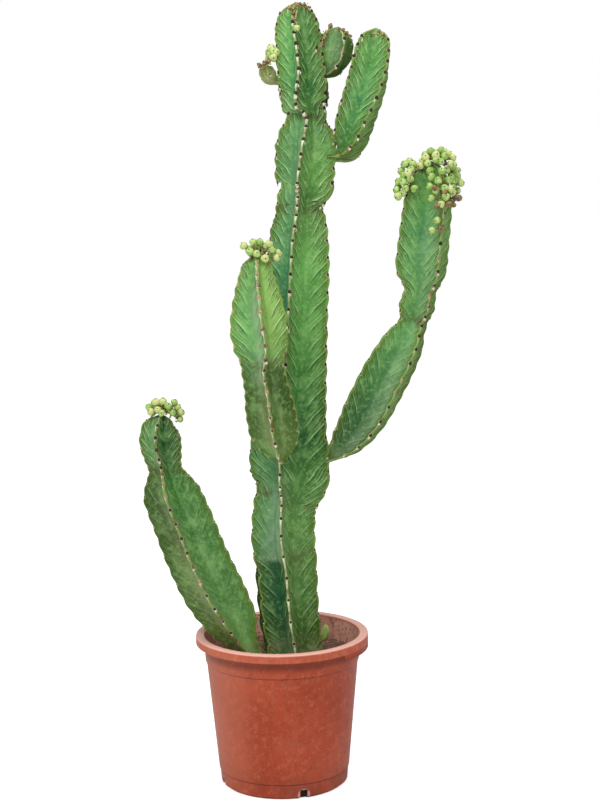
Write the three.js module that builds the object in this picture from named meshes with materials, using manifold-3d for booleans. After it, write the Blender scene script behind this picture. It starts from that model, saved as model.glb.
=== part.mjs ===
// Potted euphorbia: a ribbed, branching succulent in a plastic nursery container.
// Millimetres, +Z up, origin at the centre of the container's underside.
// The camera side of the plant is -Y, and +X is to its right. Azimuths are in
// degrees from -Y towards +X.

import * as THREE from 'three';
import { mergeVertices } from 'three/addons/utils/BufferGeometryUtils.js';
import Module from 'manifold-3d';

const wasm = await Module();
wasm.setup();

// ---------------------------------------------------------------- dimensions

// Container
const POT_HEIGHT = 266;
const RIM_RADIUS = 150; // 300 mm container, measured over the rim
const RIM_FLAT_INNER_RADIUS = 136; // inner edge of the flat rim face
const LIP_DROP = 14.5; // how far the rim's outer band hangs
const LIP_THICKNESS = 2.6;
const DEEP_LIP_DROP = 25; // the two deeper sections of the band
const DEEP_LIP_SECTIONS = [[45, 95], [225, 265]]; // where each deeper section starts and ends
const DEEP_LIP_STEP = 0.8; // degrees that the step at each of its ends takes
const PLINTH_HEIGHT = 28;
const COLLAR_HEIGHT = 220; // step in the wall below the rim
const FLOOR_THICKNESS = 3.4;
const DRAIN_WIDTH = 13.5;
const DRAIN_HEIGHT = 17;
const DRAIN_AZIMUTHS = [17, 107, 197, 287];
const POT_SEGMENTS = 36;

// Compost
const SOIL_HEIGHT = 226; // 40 mm below the rim
const SOIL_SEGMENTS = 18;

// Gap between pieces that rest in one another
const CLEARANCE = 0.45;

// Stems
const MARGIN_HALF_THICKNESS = 2.3; // the pale edge of a rib
const NOTCH_DEPTH = 3; // of the scallops along a rib
const FLANK_RELIEF = 1.2; // of the raised lines across a rib's flank
const FLANK_CURVE = 1.45; // how a rib thins from valley to edge
const SPINE_HEIGHT = 4.2;

// Capsules
const CAPSULE_RADIUS = 6.6;
const CAPSULE_SIDES = 5;
const STALK_RADIUS = 2.4;
const RACHIS_RADIUS = 3.6;

// Each station of a stem: x, y, z of its core, reach of its ribs, azimuth of
// its front rib, and spacing of the spines along a rib.
const TRUNK = {
  ribs: 5,
  valley: 0.45,
  bareBelow: 238,
  stations: [
    [20, 0, 188, 30, 4, 32],
    [20, 0, 208, 49, 4, 32],
    [19, 0, 242, 54, 4, 38],
    [13, 0, 292, 56, 3, 39],
    [10, 0, 341, 57, 2, 39],
    [9, 0, 385, 58, 0, 38],
    [7, 0, 438, 59, -5, 35],
    [10, 0, 481, 58.5, -8, 25],
    [14, 0, 502, 58, -11, 16],
    [20, 0, 519, 66, -17, 17],
    [25, 0, 545, 76.5, -19, 26],
    [25, 0, 587, 76, -18, 30],
    [27, 0, 628, 68, -17, 31],
    [31, 0, 709, 65, -17, 31],
    [35, 0, 777, 63, -17, 31],
    [38, 0, 829, 61.5, -17, 30],
    [42, 0, 887, 60.5, -17, 29],
    [45, 0, 939, 57, -17, 27],
    [46, 0, 975, 51, -14, 21],
    [45, 0, 1001, 43, -9, 14],
    [48, 0, 1018, 42.5, -12, 12],
    [57, 0, 1035, 53, -22, 15],
    [58, 0, 1058, 56, -18, 24],
    [58, 0, 1106, 55.5, -10, 25],
    [57, 0, 1132, 47, -3, 19],
    [58, 0, 1147, 37, 0, 13],
    [60, 0, 1159, 35, -10, 12],
    [57, 0, 1176, 43, -26, 14],
    [57, 0, 1200, 46.5, -22, 20],
    [51, 0, 1237, 43.5, -8, 21],
    [49, 0, 1272, 42.5, -10, 19],
    [47, 0, 1300, 40.5, -14, 17],
    [45, 0, 1324, 31, -15, 15],
    [45, 0, 1338, 11, -15, 13],
  ],
  // Below a growth stop at 400 mm the ribs stand at other azimuths.
  ribShift: [0, 0, 11, 33, 13],
  shiftHeight: 400,
  shiftBand: 9,
};

const BRANCH_LEFT = {
  ribs: 4,
  valley: 0.38,
  bareBelow: 250,
  stations: [
    [-37, -12, 206, 12, -7, 24],
    [-51, -18, 232, 18, -7, 24],
    [-66, -22, 254, 27, -7, 22],
    [-86, -22, 292, 47, -7, 26],
    [-120, -22, 354, 55.5, -7, 27],
    [-145, -22, 411, 55, -7, 27],
    [-165, -22, 467, 54, -7, 27],
    [-184, -22, 518, 51.5, -7, 24],
    [-190, -22, 543, 41, -8, 17],
    [-194, -22, 564, 30, -8, 13],
    [-197, -22, 582, 33.5, -8, 15],
    [-201, -22, 610, 37.5, -9, 20],
    [-201, -22, 634, 32, -9, 19],
    [-198, -22, 648, 20, -9, 15],
    [-197, -22, 655, 8, -9, 13],
  ],
};

const BRANCH_FRONT = {
  ribs: 4,
  valley: 0.38,
  bareBelow: 592,
  stations: [
    [12, -50, 576, 5, -6, 20],
    [7, -64, 583, 9, -6, 20],
    [2, -82, 598, 23, -5, 18],
    [-2, -94, 618, 37, -4, 19],
    [-7, -100, 642, 43, -3, 20],
    [-12, -104, 674, 42.5, -1, 20],
    [-17, -106, 707, 38.5, 1, 19],
    [-23, -107, 741, 36.5, 3, 16],
    [-24, -107, 757, 38.5, 8, 18],
    [-26, -107, 783, 47.5, 12, 25],
    [-28, -107, 810, 49.5, 9, 27],
    [-29, -106, 834, 46.5, 6, 26],
    [-30, -105, 872, 38, 5, 20],
    [-30, -105, 900, 29.5, 2, 15],
    [-29, -104, 916, 24, 0, 12],
    [-29, -104, 925, 15, 0, 10],
  ],
};

const BRANCH_RIGHT = {
  ribs: 4,
  valley: 0.38,
  bareBelow: 588,
  stations: [
    [68, -31, 572, 4, 30, 24],
    [79, -37, 576, 7, 30, 24],
    [89, -41, 582, 12.5, 30, 22],
    [99, -43, 591, 21.5, 30, 22],
    [114, -43, 606, 34.5, 30, 24],
    [135, -42, 632, 44.5, 30, 26],
    [157, -41, 669, 50.5, 30, 27],
    [180, -40, 712, 50.5, 29, 27],
    [199, -40, 746, 48, 29, 26],
    [216, -39, 777, 42, 29, 22],
    [228, -38, 801, 30.5, 29, 17],
    [232, -38, 813, 29.5, 29, 15],
    [237, -38, 833, 37, 29, 17],
    [243, -38, 860, 33.5, 29, 17],
    [246, -38, 884, 47, 29, 20],
    [246, -38, 905, 53, 29, 24],
    [252, -38, 960, 51.5, 29, 25],
    [257, -38, 1004, 50, 30, 23],
    [260, -38, 1040, 41, 31, 20],
    [261, -38, 1062, 29, 31, 16],
    [261, -38, 1073, 14, 31, 13],
  ],
};

const BRANCH_TOP_RIGHT = {
  ribs: 4,
  valley: 0.38,
  bareBelow: 1100,
  stations: [
    [90, -24, 1087, 5, 0, 20],
    [103, -28, 1087, 9, 0, 20],
    [115, -30, 1091, 17, 0, 20],
    [122, -30, 1097, 23, 4, 20],
    [126, -29, 1105, 28, 9, 22],
    [131.5, -29, 1122, 33.5, 19, 24],
    [138.5, -29, 1147, 37, 24, 24],
    [144, -29, 1164, 39.5, 29, 22],
    [154, -29, 1193, 41.5, 33, 21],
    [160.5, -29, 1218, 42.5, 37, 19],
    [166, -29, 1249, 42, 42, 18],
    [171, -29, 1272, 37, 42, 16],
    [173, -29, 1284, 29, 42, 13],
    [174, -29, 1291, 16, 42, 11],
  ],
};

const LOBE_RIGHT = {
  ribs: 4,
  valley: 0.5,
  bareBelow: 1234,
  stations: [
    [84, -12, 1222, 5, 25, 22],
    [91, -9, 1225, 11, 25, 22],
    [97, -6, 1232, 21, 25, 22],
    [102, -4, 1244, 30, 25, 24],
    [106, -4, 1260, 35.5, 25, 24],
    [109, -4, 1276, 33, 25, 20],
    [111, -4, 1288, 25, 25, 15],
    [112, -4, 1296, 13, 25, 12],
  ],
};

const LOBE_LEFT = {
  ribs: 4,
  valley: 0.62,
  bareBelow: 1214,
  stations: [
    [13, -1, 1209, 4, 10, 26],
    [8, -1, 1212, 6.5, 10, 26],
    [2, -2, 1216, 11.5, 10, 22],
    [-4, -3, 1222, 14.5, 10, 20],
    [-8, -3, 1229, 14, 10, 19],
    [-11, -3, 1235, 10, 10, 17],
    [-12, -3, 1239, 5, 10, 15],
  ],
};

const SPROUT = {
  ribs: 4,
  valley: 0.6,
  bareBelow: 400,
  stations: [
    [59, -10, 250, 3.5, 20, 23],
    [68, -13, 255, 6, 20, 23],
    [74, -15, 264, 9, 20, 20],
    [76, -15, 274, 8, 20, 17],
    [76, -15, 281, 3, 20, 14],
  ],
};

// Bunches of capsules. The spine is the woody line that the stalks stand on,
// along a rib's edge or over a stem's end. A fourth number is the size of an
// unripe capsule, as a share of the usual one.
const BUNCHES = [
  {
    name: 'berries_left',
    on: ['branch_left'],
    spine: [[-216, -25, 653], [-207, -26, 660], [-196, -22, 662], [-182, -19, 658], [-172, -20, 650]],
    capsules: [[-219, -26, 671], [-193, -30, 680], [-206, -18, 677], [-185, -24, 672], [-198, -38, 667],
      [-179, -33, 662], [-169, -14, 666], [-163, -26, 660], [-198, -6, 675], [-183, -5, 669],
      [-213, -12, 661]],
  },
  {
    name: 'berries_front',
    on: ['branch_front', 'trunk'],
    spine: [[-46, -107, 921], [-38, -108, 928], [-28, -106, 931], [-17, -106, 928], [-7, -107, 920]],
    capsules: [[-50, -112, 945], [-34, -115, 952], [-29, -100, 948], [-29, -122, 934], [-15, -121, 926],
      [-2, -113, 938], [-16, -110, 945], [5, -106, 932], [-41, -98, 941]],
  },
  {
    name: 'berries_right_outer',
    on: ['branch_right'],
    spine: [[216, -62, 1022], [221, -61, 1037], [227, -58, 1051], [234, -54, 1064]],
    capsules: [[218, -60, 1075], [231, -60, 1075], [215, -68, 1061], [229, -70, 1060], [205, -62, 1047],
      [219, -75, 1047], [203, -66, 1032], [206, -74, 1019], [231, -72, 1036]],
  },
  {
    name: 'berries_right_top',
    on: ['branch_right'],
    spine: [[247, -48, 1072], [256, -43, 1079], [268, -38, 1080], [280, -34, 1073]],
    capsules: [[261, -50, 1094], [278, -46, 1094], [250, -60, 1084], [267, -60, 1087], [285, -54, 1083],
      [299, -40, 1082], [262, -66, 1074], [288, -30, 1090], [254, -33, 1087]],
  },
  {
    name: 'berries_right_low',
    on: ['branch_right'],
    spine: [[279, -85, 962], [282, -85, 982], [283, -84, 1001], [284, -81, 1020], [283, -77, 1038], [279, -70, 1054]],
    capsules: [[262, -80, 1052], [267, -88, 1037], [268, -92, 1018], [292, -88, 1020], [271, -97, 985],
      [265, -93, 967], [288, -82, 1046]],
  },
  {
    name: 'berries_right_side',
    on: ['branch_right'],
    spine: [[301, -13, 1021], [299, -15, 1036], [295, -18, 1050]],
    capsules: [[298, -22, 1064], [310, -16, 1049], [303, -31, 1044], [315, -21, 1036], [310, -8, 1025]],
  },
  {
    name: 'berries_right_rear',
    on: ['branch_right'],
    spine: [[234, 4, 1021], [237, 2, 1034], [241, -4, 1048], [246, -10, 1060]],
    capsules: [[228, 8, 1050], [243, 12, 1054], [244, 17, 1035], [226, 13, 1030], [250, 3, 1068]],
  },
  {
    name: 'berries_crown',
    on: ['trunk', 'lobe_left'],
    spine: [[3, 1, 1247], [3, 1, 1264]],
    capsules: [[0, -3, 1268], [4, -10, 1261], [-3, -3, 1257], [4, -12, 1252], [-3, 10, 1261]],
  },
  {
    name: 'berries_tip',
    on: ['trunk'],
    spine: [[36, -37, 1309], [38, -28, 1327]],
    capsules: [[42, -45, 1298], [32, -38, 1331, 0.7], [44, -26, 1336, 0.7]],
  },
];

// ----------------------------------------------------------------- materials

const finish = (color, roughness) => new THREE.MeshStandardMaterial({ color, roughness, metalness: 0 });
const TERRACOTTA = finish(0xb8664c, 0.55);
const COMPOST = finish(0x6f5c50, 0.95);
const GREEN = finish(0x4f8f4a, 0.6);
const DARK_GREEN = finish(0x4a7f48, 0.6);
const YOUNG_GREEN = finish(0x86a05a, 0.6);
const CAPSULE_GREEN = finish(0xb3bf6d, 0.6);

// ------------------------------------------------------------------- helpers

const radians = THREE.MathUtils.degToRad;

// A repeatable series of numbers between 0 and 1.
function series(seed) {
  let state = seed;
  return () => {
    state = (state * 16807) % 2147483647;
    return state / 2147483647;
  };
}

// A closed mesh with shared corners, as a solid for joins and cuts.
function solidOf(geometry) {
  const bare = geometry.clone();
  for (const name of ['normal', 'uv', 'uv1', 'color']) bare.deleteAttribute(name);
  const merged = mergeVertices(bare, 1e-3);
  const index = merged.index.array;
  const kept = [];
  for (let i = 0; i < index.length; i += 3) {
    const [a, b, c] = [index[i], index[i + 1], index[i + 2]];
    if (a !== b && b !== c && c !== a) kept.push(a, b, c);
  }
  const mesh = new wasm.Mesh({
    numProp: 3,
    vertProperties: new Float32Array(merged.attributes.position.array),
    triVerts: new Uint32Array(kept),
  });
  const solid = new wasm.Manifold(mesh);
  if (solid.volume() > 0) return solid;
  for (let i = 0; i < kept.length; i += 3) [kept[i], kept[i + 1]] = [kept[i + 1], kept[i]];
  return new wasm.Manifold(new wasm.Mesh({
    numProp: 3,
    vertProperties: new Float32Array(merged.attributes.position.array),
    triVerts: new Uint32Array(kept),
  }));
}

// The geometry of a solid's one largest body.
function geometryOf(solid) {
  const bodies = solid.decompose().sort((a, b) => b.volume() - a.volume());
  const mesh = bodies[0].getMesh();
  const geometry = new THREE.BufferGeometry();
  geometry.setAttribute('position', new THREE.BufferAttribute(new Float32Array(mesh.vertProperties), 3));
  geometry.setIndex(new THREE.BufferAttribute(new Uint32Array(mesh.triVerts), 1));
  return geometry;
}

function meshOf(name, geometry, material) {
  geometry.computeVertexNormals();
  const mesh = new THREE.Mesh(geometry, material);
  mesh.name = name;
  return mesh;
}

// ----------------------------------------------------------------- container

const wallRadius = (z) => 111.2 + 0.0945 * z; // the tapered outer wall
const innerRadius = (z) => 107.6 + 0.1039 * (z - FLOOR_THICKNESS);

function upright(geometry) {
  return geometry.rotateX(Math.PI / 2); // turned shapes are made about Y
}

function containerSolid() {
  const lipBottom = POT_HEIGHT - LIP_DROP;
  const rimUnderside = POT_HEIGHT - LIP_THICKNESS;
  const bandInner = RIM_RADIUS - LIP_THICKNESS;
  const profile = [
    [0, 0],
    [104.5, 0],
    [wallRadius(5) - 1, 5],
    [wallRadius(PLINTH_HEIGHT) - 1.1, PLINTH_HEIGHT - 1],
    [wallRadius(PLINTH_HEIGHT), PLINTH_HEIGHT + 1],
    [wallRadius(COLLAR_HEIGHT - 1), COLLAR_HEIGHT - 1],
    [wallRadius(COLLAR_HEIGHT) + 1.8, COLLAR_HEIGHT + 2],
    [137, rimUnderside],
    [bandInner, rimUnderside],
    [bandInner, lipBottom],
    [RIM_RADIUS, lipBottom],
    [RIM_RADIUS, POT_HEIGHT - 1.5],
    [RIM_RADIUS - 1.5, POT_HEIGHT],
    [RIM_FLAT_INNER_RADIUS, POT_HEIGHT],
    [innerRadius(POT_HEIGHT - 4), POT_HEIGHT - 4],
    [innerRadius(FLOOR_THICKNESS), FLOOR_THICKNESS],
    [0, FLOOR_THICKNESS],
  ].map(([r, z]) => new THREE.Vector2(r, z));

  // The turned wall has even columns of corners, and a second one at each end
  // of a deeper lip section, where the band's edge steps down.
  const edges = DEEP_LIP_SECTIONS.flat();
  const columns = Array.from({ length: POT_SEGMENTS }, (_, i) => (i * 360) / POT_SEGMENTS);
  columns.push(...edges.map((a, i) => (i % 2 ? a - DEEP_LIP_STEP : a + DEEP_LIP_STEP)));
  columns.sort((a, b) => a - b);
  const turned = upright(new THREE.LatheGeometry(profile, columns.length));
  const corners = turned.attributes.position;
  for (let i = 0; i < corners.count; i += 1) {
    const radius = Math.hypot(corners.getX(i), corners.getY(i));
    const column = Math.floor(i / profile.length) % columns.length;
    const azimuth = columns[column];
    const z = corners.getZ(i);
    const inDeep = DEEP_LIP_SECTIONS.some(([a, b]) => azimuth > a + 0.1 && azimuth < b - 0.1);
    const onBand = radius > bandInner - 0.1 && Math.abs(z - lipBottom) < 0.1;
    corners.setXYZ(
      i, radius * Math.sin(radians(azimuth)), -radius * Math.cos(radians(azimuth)),
      onBand && inDeep ? POT_HEIGHT - DEEP_LIP_DROP : z,
    );
  }
  let pot = solidOf(turned);
  for (const azimuth of DRAIN_AZIMUTHS) {
    const notch = new THREE.BoxGeometry(DRAIN_WIDTH, 17, DRAIN_HEIGHT + 2);
    notch.translate(0, -108.5, DRAIN_HEIGHT / 2 - 1);
    notch.rotateZ(radians(azimuth));
    pot = pot.subtract(solidOf(notch));
  }
  return pot;
}

function compostSolid() {
  const edge = innerRadius(SOIL_HEIGHT - 2) - 0.7;
  const floor = FLOOR_THICKNESS + CLEARANCE;
  const profile = [
    [0, floor],
    [innerRadius(floor) - 0.7, floor],
    [edge, SOIL_HEIGHT - 2],
    [104, SOIL_HEIGHT],
    [66, SOIL_HEIGHT + 1],
    [0, SOIL_HEIGHT + 1],
  ].map(([r, z]) => new THREE.Vector2(r, z));
  const geometry = upright(new THREE.LatheGeometry(profile, SOIL_SEGMENTS));
  const position = geometry.attributes.position;
  const next = series(417);
  const lifts = Array.from({ length: 2 * SOIL_SEGMENTS }, () => (next() - 0.5) * 5);
  for (let i = 0; i < position.count; i += 1) {
    const radius = Math.hypot(position.getX(i), position.getY(i));
    if (position.getZ(i) < SOIL_HEIGHT - 1 || radius < 10) continue;
    const turn = Math.atan2(position.getX(i), -position.getY(i)) / (2 * Math.PI) + 1;
    const slot = Math.round(turn * SOIL_SEGMENTS) % SOIL_SEGMENTS;
    position.setZ(i, position.getZ(i) + lifts[radius > 85 ? slot : slot + SOIL_SEGMENTS]);
  }
  return solidOf(geometry);
}

// --------------------------------------------------------------------- stems

// A value along the stations, smooth and without overshoot.
function eased(values, u) {
  const last = values.length - 1;
  const i = Math.min(Math.floor(u), last - 1);
  const t = u - i;
  const step = (k) => values[k + 1] - values[k];
  const slope = (k) => {
    if (k === 0) return step(0);
    if (k === last) return step(last - 1);
    const [a, b] = [step(k - 1), step(k)];
    return a * b <= 0 ? 0 : (2 * a * b) / (a + b);
  };
  const [t2, t3] = [t * t, t * t * t];
  return (2 * t3 - 3 * t2 + 1) * values[i] + (t3 - 2 * t2 + t) * slope(i)
    + (3 * t2 - 2 * t3) * values[i + 1] + (t3 - t2) * slope(i + 1);
}

// The stem's core line, with its reach, turn and scallop count along it.
function trace(stem) {
  const { stations } = stem;
  const curve = new THREE.CatmullRomCurve3(
    stations.map(([x, y, z]) => new THREE.Vector3(x, y, z)), false, 'centripetal',
  );
  const reaches = stations.map((s) => s[3]);
  const turns = stations.map((s) => s[4]);
  const pitches = stations.map((s) => s[5]);
  const spans = stations.length - 1;
  const count = spans * 24;
  const samples = [];
  let scallops = 0;
  let previous = null;
  for (let k = 0; k <= count; k += 1) {
    const u = (k / count) * spans;
    const point = curve.getPoint(k / count);
    const reach = eased(reaches, u);
    if (previous) scallops += point.distanceTo(previous) / eased(pitches, u);
    samples.push({ point, reach, turn: eased(turns, u), scallops });
    previous = point;
  }
  const whole = Math.max(2, Math.round(scallops));
  for (const sample of samples) sample.scallops *= whole / scallops;
  samples.forEach((sample, k) => {
    const before = samples[Math.max(0, k - 1)].point;
    const after = samples[Math.min(count, k + 1)].point;
    sample.along = after.clone().sub(before).normalize();
  });
  return { samples, whole };
}

function sampleAt(samples, scallops) {
  let k = 1;
  while (k < samples.length - 1 && samples[k].scallops < scallops) k += 1;
  const [a, b] = [samples[k - 1], samples[k]];
  const t = THREE.MathUtils.clamp((scallops - a.scallops) / (b.scallops - a.scallops), 0, 1);
  return {
    point: a.point.clone().lerp(b.point, t),
    along: a.along.clone().lerp(b.along, t).normalize(),
    reach: THREE.MathUtils.lerp(a.reach, b.reach, t),
    turn: THREE.MathUtils.lerp(a.turn, b.turn, t),
  };
}

// Directions across the stem: nearest the camera side, and to its right.
function across(along) {
  const front = new THREE.Vector3(0, -1, 0);
  front.addScaledVector(along, -front.dot(along)).normalize();
  return [front, along.clone().cross(front)];
}

function ribAzimuths(stem, turn, z) {
  const ribs = Array.from({ length: stem.ribs }, (_, j) => turn + (j * 360) / stem.ribs);
  if (!stem.ribShift) return ribs;
  const below = THREE.MathUtils.smoothstep(stem.shiftHeight - z, -stem.shiftBand, stem.shiftBand);
  return ribs.map((azimuth, j) => azimuth + stem.ribShift[j] * below);
}

const COLUMNS = 5; // points on each rib: flank, edge, edge, flank, valley

// One ring of corners round the stem. Every other ring is a notch.
function ring(stem, sample, isNotch, grow) {
  const { point, along, reach } = sample;
  const [front, right] = across(along);
  const azimuths = ribAzimuths(stem, sample.turn, point.z);
  const notch = isNotch ? Math.min(NOTCH_DEPTH, reach * 0.07) : 0;
  const edge = Math.min(MARGIN_HALF_THICKNESS, reach * 0.16);
  const relief = Math.min(FLANK_RELIEF, reach * 0.03) * (isNotch ? -1 : 1);
  const floor = reach * stem.valley;
  const corners = [];
  const place = (azimuth, out, side) => {
    const [c, s] = [Math.cos(radians(azimuth)), Math.sin(radians(azimuth))];
    return point.clone()
      .addScaledVector(front, c * out - s * side)
      .addScaledVector(right, s * out + c * side);
  };
  azimuths.forEach((azimuth, j) => {
    const next = azimuths[(j + 1) % stem.ribs] + (j === stem.ribs - 1 ? 360 : 0);
    const last = azimuths[(j + stem.ribs - 1) % stem.ribs] - (j === 0 ? 360 : 0);
    const tip = reach - notch;
    const flank = (halfGap, side) => {
      const [out, thick] = [floor * Math.cos(halfGap), floor * Math.sin(halfGap)];
      const half = edge + (thick - edge) * 0.5 ** FLANK_CURVE + relief + grow;
      return place(azimuth, out + (tip - out) * 0.5 + grow * 0.5, side * half);
    };
    corners.push(
      flank(radians(azimuth - last) / 2, -1),
      place(azimuth, tip + grow, -(edge + grow)),
      place(azimuth, tip + grow, edge + grow),
      flank(radians(next - azimuth) / 2, 1),
      place((azimuth + next) / 2, floor + grow * 2.8, 0),
    );
  });
  return { corners, azimuths, place, tip: reach - notch };
}

// A stem as one closed mesh: rings of corners, herringbone flanks, a spine
// raised on the rib's edge at every other notch, and a closed foot and
// growing tip. The valley line has one corner to each scallop.
function stemGeometry(stem, grow = 0) {
  const { samples, whole } = trace(stem);
  const rings = [];
  for (let i = 0; i <= 2 * whole; i += 1) {
    rings.push(ring(stem, sampleAt(samples, i / 2), i % 2 === 0, grow));
  }
  const width = stem.ribs * COLUMNS;
  const points = rings.flatMap((r) => r.corners);
  const faces = [];
  const at = (i, c) => i * width + (c % width);
  for (let i = 0; i < rings.length - 1; i += 1) {
    const isNotch = i % 2 === 0;
    for (let c = 0; c < width; c += 1) {
      const column = c % COLUMNS;
      const [a, b, d, e] = [at(i, c), at(i, c + 1), at(i + 1, c + 1), at(i + 1, c)];
      const rib = Math.floor(c / COLUMNS);
      if (column === 1) {
        const spot = sampleAt(samples, i / 2 + 0.12);
        if (isNotch && i > 0 && (i / 2 + rib) % 2 === 0 && spot.point.z > stem.bareBelow) {
          const here = ring(stem, spot, true, grow);
          const rise = Math.min(SPINE_HEIGHT, 1 + here.tip * 0.16);
          points.push(here.place(here.azimuths[rib], here.tip + rise + grow, 0));
          const peak = points.length - 1;
          faces.push([a, b, peak], [b, d, peak], [d, e, peak], [e, a, peak]);
        } else {
          faces.push([a, b, d], [a, d, e]);
        }
      } else if (column === 2) {
        faces.push([a, b, e], [b, d, e]);
      } else if (column === 3) {
        if (isNotch) faces.push([a, b, e], [b, at(i + 2, c + 1), e]);
        else faces.push([a, d, e]);
      } else if (column === 4) {
        if (isNotch) faces.push([a, b, d], [a, d, at(i + 2, c)]);
        else faces.push([b, d, e]);
      } else {
        faces.push([a, b, d], [a, d, e]);
      }
    }
  }
  const foot = samples[0];
  const tip = samples[samples.length - 1];
  points.push(foot.point.clone().addScaledVector(foot.along, -grow - 0.5));
  const under = points.length - 1;
  points.push(tip.point.clone().addScaledVector(tip.along, grow + tip.reach * 0.35));
  const over = points.length - 1;
  const top = rings.length - 1;
  for (let c = 0; c < width; c += 1) {
    faces.push([under, at(0, c + 1), at(0, c)], [over, at(top, c), at(top, c + 1)]);
  }
  const geometry = new THREE.BufferGeometry();
  geometry.setAttribute('position', new THREE.Float32BufferAttribute(points.flatMap((p) => [p.x, p.y, p.z]), 3));
  geometry.setIndex(faces.flat());
  return geometry;
}

// ------------------------------------------------------------------ capsules

// A straight rod between two points.
function rod(from, to, radius, endRadius, sides) {
  const [a, b] = [new THREE.Vector3(...from), new THREE.Vector3(...to)];
  const line = b.clone().sub(a);
  const geometry = new THREE.CylinderGeometry(endRadius, radius, line.length(), sides);
  geometry.applyQuaternion(new THREE.Quaternion().setFromUnitVectors(
    new THREE.Vector3(0, 1, 0), line.clone().normalize(),
  ));
  const middle = a.add(b).multiplyScalar(0.5);
  return geometry.translate(middle.x, middle.y, middle.z);
}

// A capsule on its stalk, turned in one piece.
function capsuleOn(root, centre, radius) {
  const [a, b] = [new THREE.Vector3(...root), new THREE.Vector3(...centre)];
  const reach = b.distanceTo(a);
  const profile = [
    [0, -3],
    [STALK_RADIUS, Math.max(0.5, reach - radius * 0.95)],
    [radius, reach],
    [0, reach + radius * 0.85],
  ].map(([r, y]) => new THREE.Vector2(r, y));
  const geometry = new THREE.LatheGeometry(profile, CAPSULE_SIDES);
  geometry.applyQuaternion(new THREE.Quaternion().setFromUnitVectors(
    new THREE.Vector3(0, 1, 0), b.sub(a).normalize(),
  ));
  return geometry.translate(a.x, a.y, a.z);
}

function nearestOn(line, point) {
  const target = new THREE.Vector3(...point);
  let best = null;
  for (let i = 0; i < line.length - 1; i += 1) {
    const [a, b] = [new THREE.Vector3(...line[i]), new THREE.Vector3(...line[i + 1])];
    const spot = new THREE.Line3(a, b).closestPointToPoint(target, true, new THREE.Vector3());
    if (!best || spot.distanceTo(target) < best.distanceTo(target)) best = spot;
  }
  return [best.x, best.y, best.z];
}

function bunchSolid(bunch, seed) {
  const next = series(seed);
  const parts = [];
  for (let i = 0; i < bunch.spine.length - 1; i += 1) {
    parts.push(solidOf(rod(bunch.spine[i], bunch.spine[i + 1], RACHIS_RADIUS, RACHIS_RADIUS, 4)));
  }
  for (const capsule of bunch.capsules) {
    const radius = CAPSULE_RADIUS * (capsule[3] ?? 1) * (0.95 + 0.1 * next());
    parts.push(solidOf(capsuleOn(nearestOn(bunch.spine, capsule), capsule, radius)));
  }
  return wasm.Manifold.union(parts);
}

// ------------------------------------------------------------------ assembly

const STEMS = {
  trunk: TRUNK,
  branch_left: BRANCH_LEFT,
  branch_front: BRANCH_FRONT,
  branch_right: BRANCH_RIGHT,
  branch_top_right: BRANCH_TOP_RIGHT,
  lobe_right: LOBE_RIGHT,
  lobe_left: LOBE_LEFT,
  sprout: SPROUT,
};
const STEM_COLOURS = { lobe_left: YOUNG_GREEN, sprout: YOUNG_GREEN, branch_left: DARK_GREEN };

const stems = {};
const grown = {};
for (const [name, stem] of Object.entries(STEMS)) {
  stems[name] = solidOf(stemGeometry(stem));
  grown[name] = solidOf(stemGeometry(stem, CLEARANCE));
}

// Each shoot starts on the trunk's rib and hugs it.
for (const name of Object.keys(STEMS)) {
  if (name !== 'trunk') stems[name] = stems[name].subtract(grown.trunk);
}

const container = containerSolid();
let compost = compostSolid();
for (const name of ['trunk', 'branch_left', 'sprout']) compost = compost.subtract(grown[name]);

const potGroup = new THREE.Group();
potGroup.add(meshOf('pot', geometryOf(container), TERRACOTTA));
potGroup.add(meshOf('soil', geometryOf(compost), COMPOST));

const plantGroup = new THREE.Group();
for (const name of Object.keys(STEMS)) {
  plantGroup.add(meshOf(name, geometryOf(stems[name]), STEM_COLOURS[name] ?? GREEN));
}
BUNCHES.forEach((bunch, i) => {
  let solid = bunchSolid(bunch, 31 + 7 * i);
  for (const name of bunch.on) solid = solid.subtract(grown[name]);
  plantGroup.add(meshOf(bunch.name, geometryOf(solid), CAPSULE_GREEN));
});

const plant = new THREE.Group();
plant.add(potGroup, plantGroup);

export default plant;
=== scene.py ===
"""Potted euphorbia: ribbed stems, spine shields, seed capsules, compost and container.

Metres, +Z up, origin at the centre of the container's underside. The side that
faces the camera is -Y, and azimuths are degrees from -Y towards +X.
"""

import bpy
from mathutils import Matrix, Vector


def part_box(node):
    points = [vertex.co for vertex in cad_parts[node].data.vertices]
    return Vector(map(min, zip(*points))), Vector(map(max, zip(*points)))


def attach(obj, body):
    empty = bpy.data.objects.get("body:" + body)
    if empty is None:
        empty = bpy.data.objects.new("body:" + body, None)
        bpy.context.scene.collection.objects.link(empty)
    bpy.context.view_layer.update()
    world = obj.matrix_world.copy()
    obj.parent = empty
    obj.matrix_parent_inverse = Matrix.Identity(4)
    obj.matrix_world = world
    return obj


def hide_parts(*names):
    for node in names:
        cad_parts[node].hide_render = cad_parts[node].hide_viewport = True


bl_info = {
    "name": "Potted euphorbia",
    "version": (1, 0, 0),
    "blender": (4, 5, 0),
    "location": "View3D > Sidebar > Euphorbia",
    "description": "Builds a branching euphorbia in its container, piece by piece",
    "category": "Object",
}

import math
import random

import bpy
import numpy as np
from mathutils import Matrix, Vector, noise

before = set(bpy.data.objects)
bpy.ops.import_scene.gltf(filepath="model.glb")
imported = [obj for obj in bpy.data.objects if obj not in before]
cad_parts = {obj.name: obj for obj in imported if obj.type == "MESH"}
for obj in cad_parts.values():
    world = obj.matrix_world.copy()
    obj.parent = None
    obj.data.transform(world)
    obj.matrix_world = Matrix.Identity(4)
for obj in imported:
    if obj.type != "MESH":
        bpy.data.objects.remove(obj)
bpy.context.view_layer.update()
POT_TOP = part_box("pot")[1].z

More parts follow.
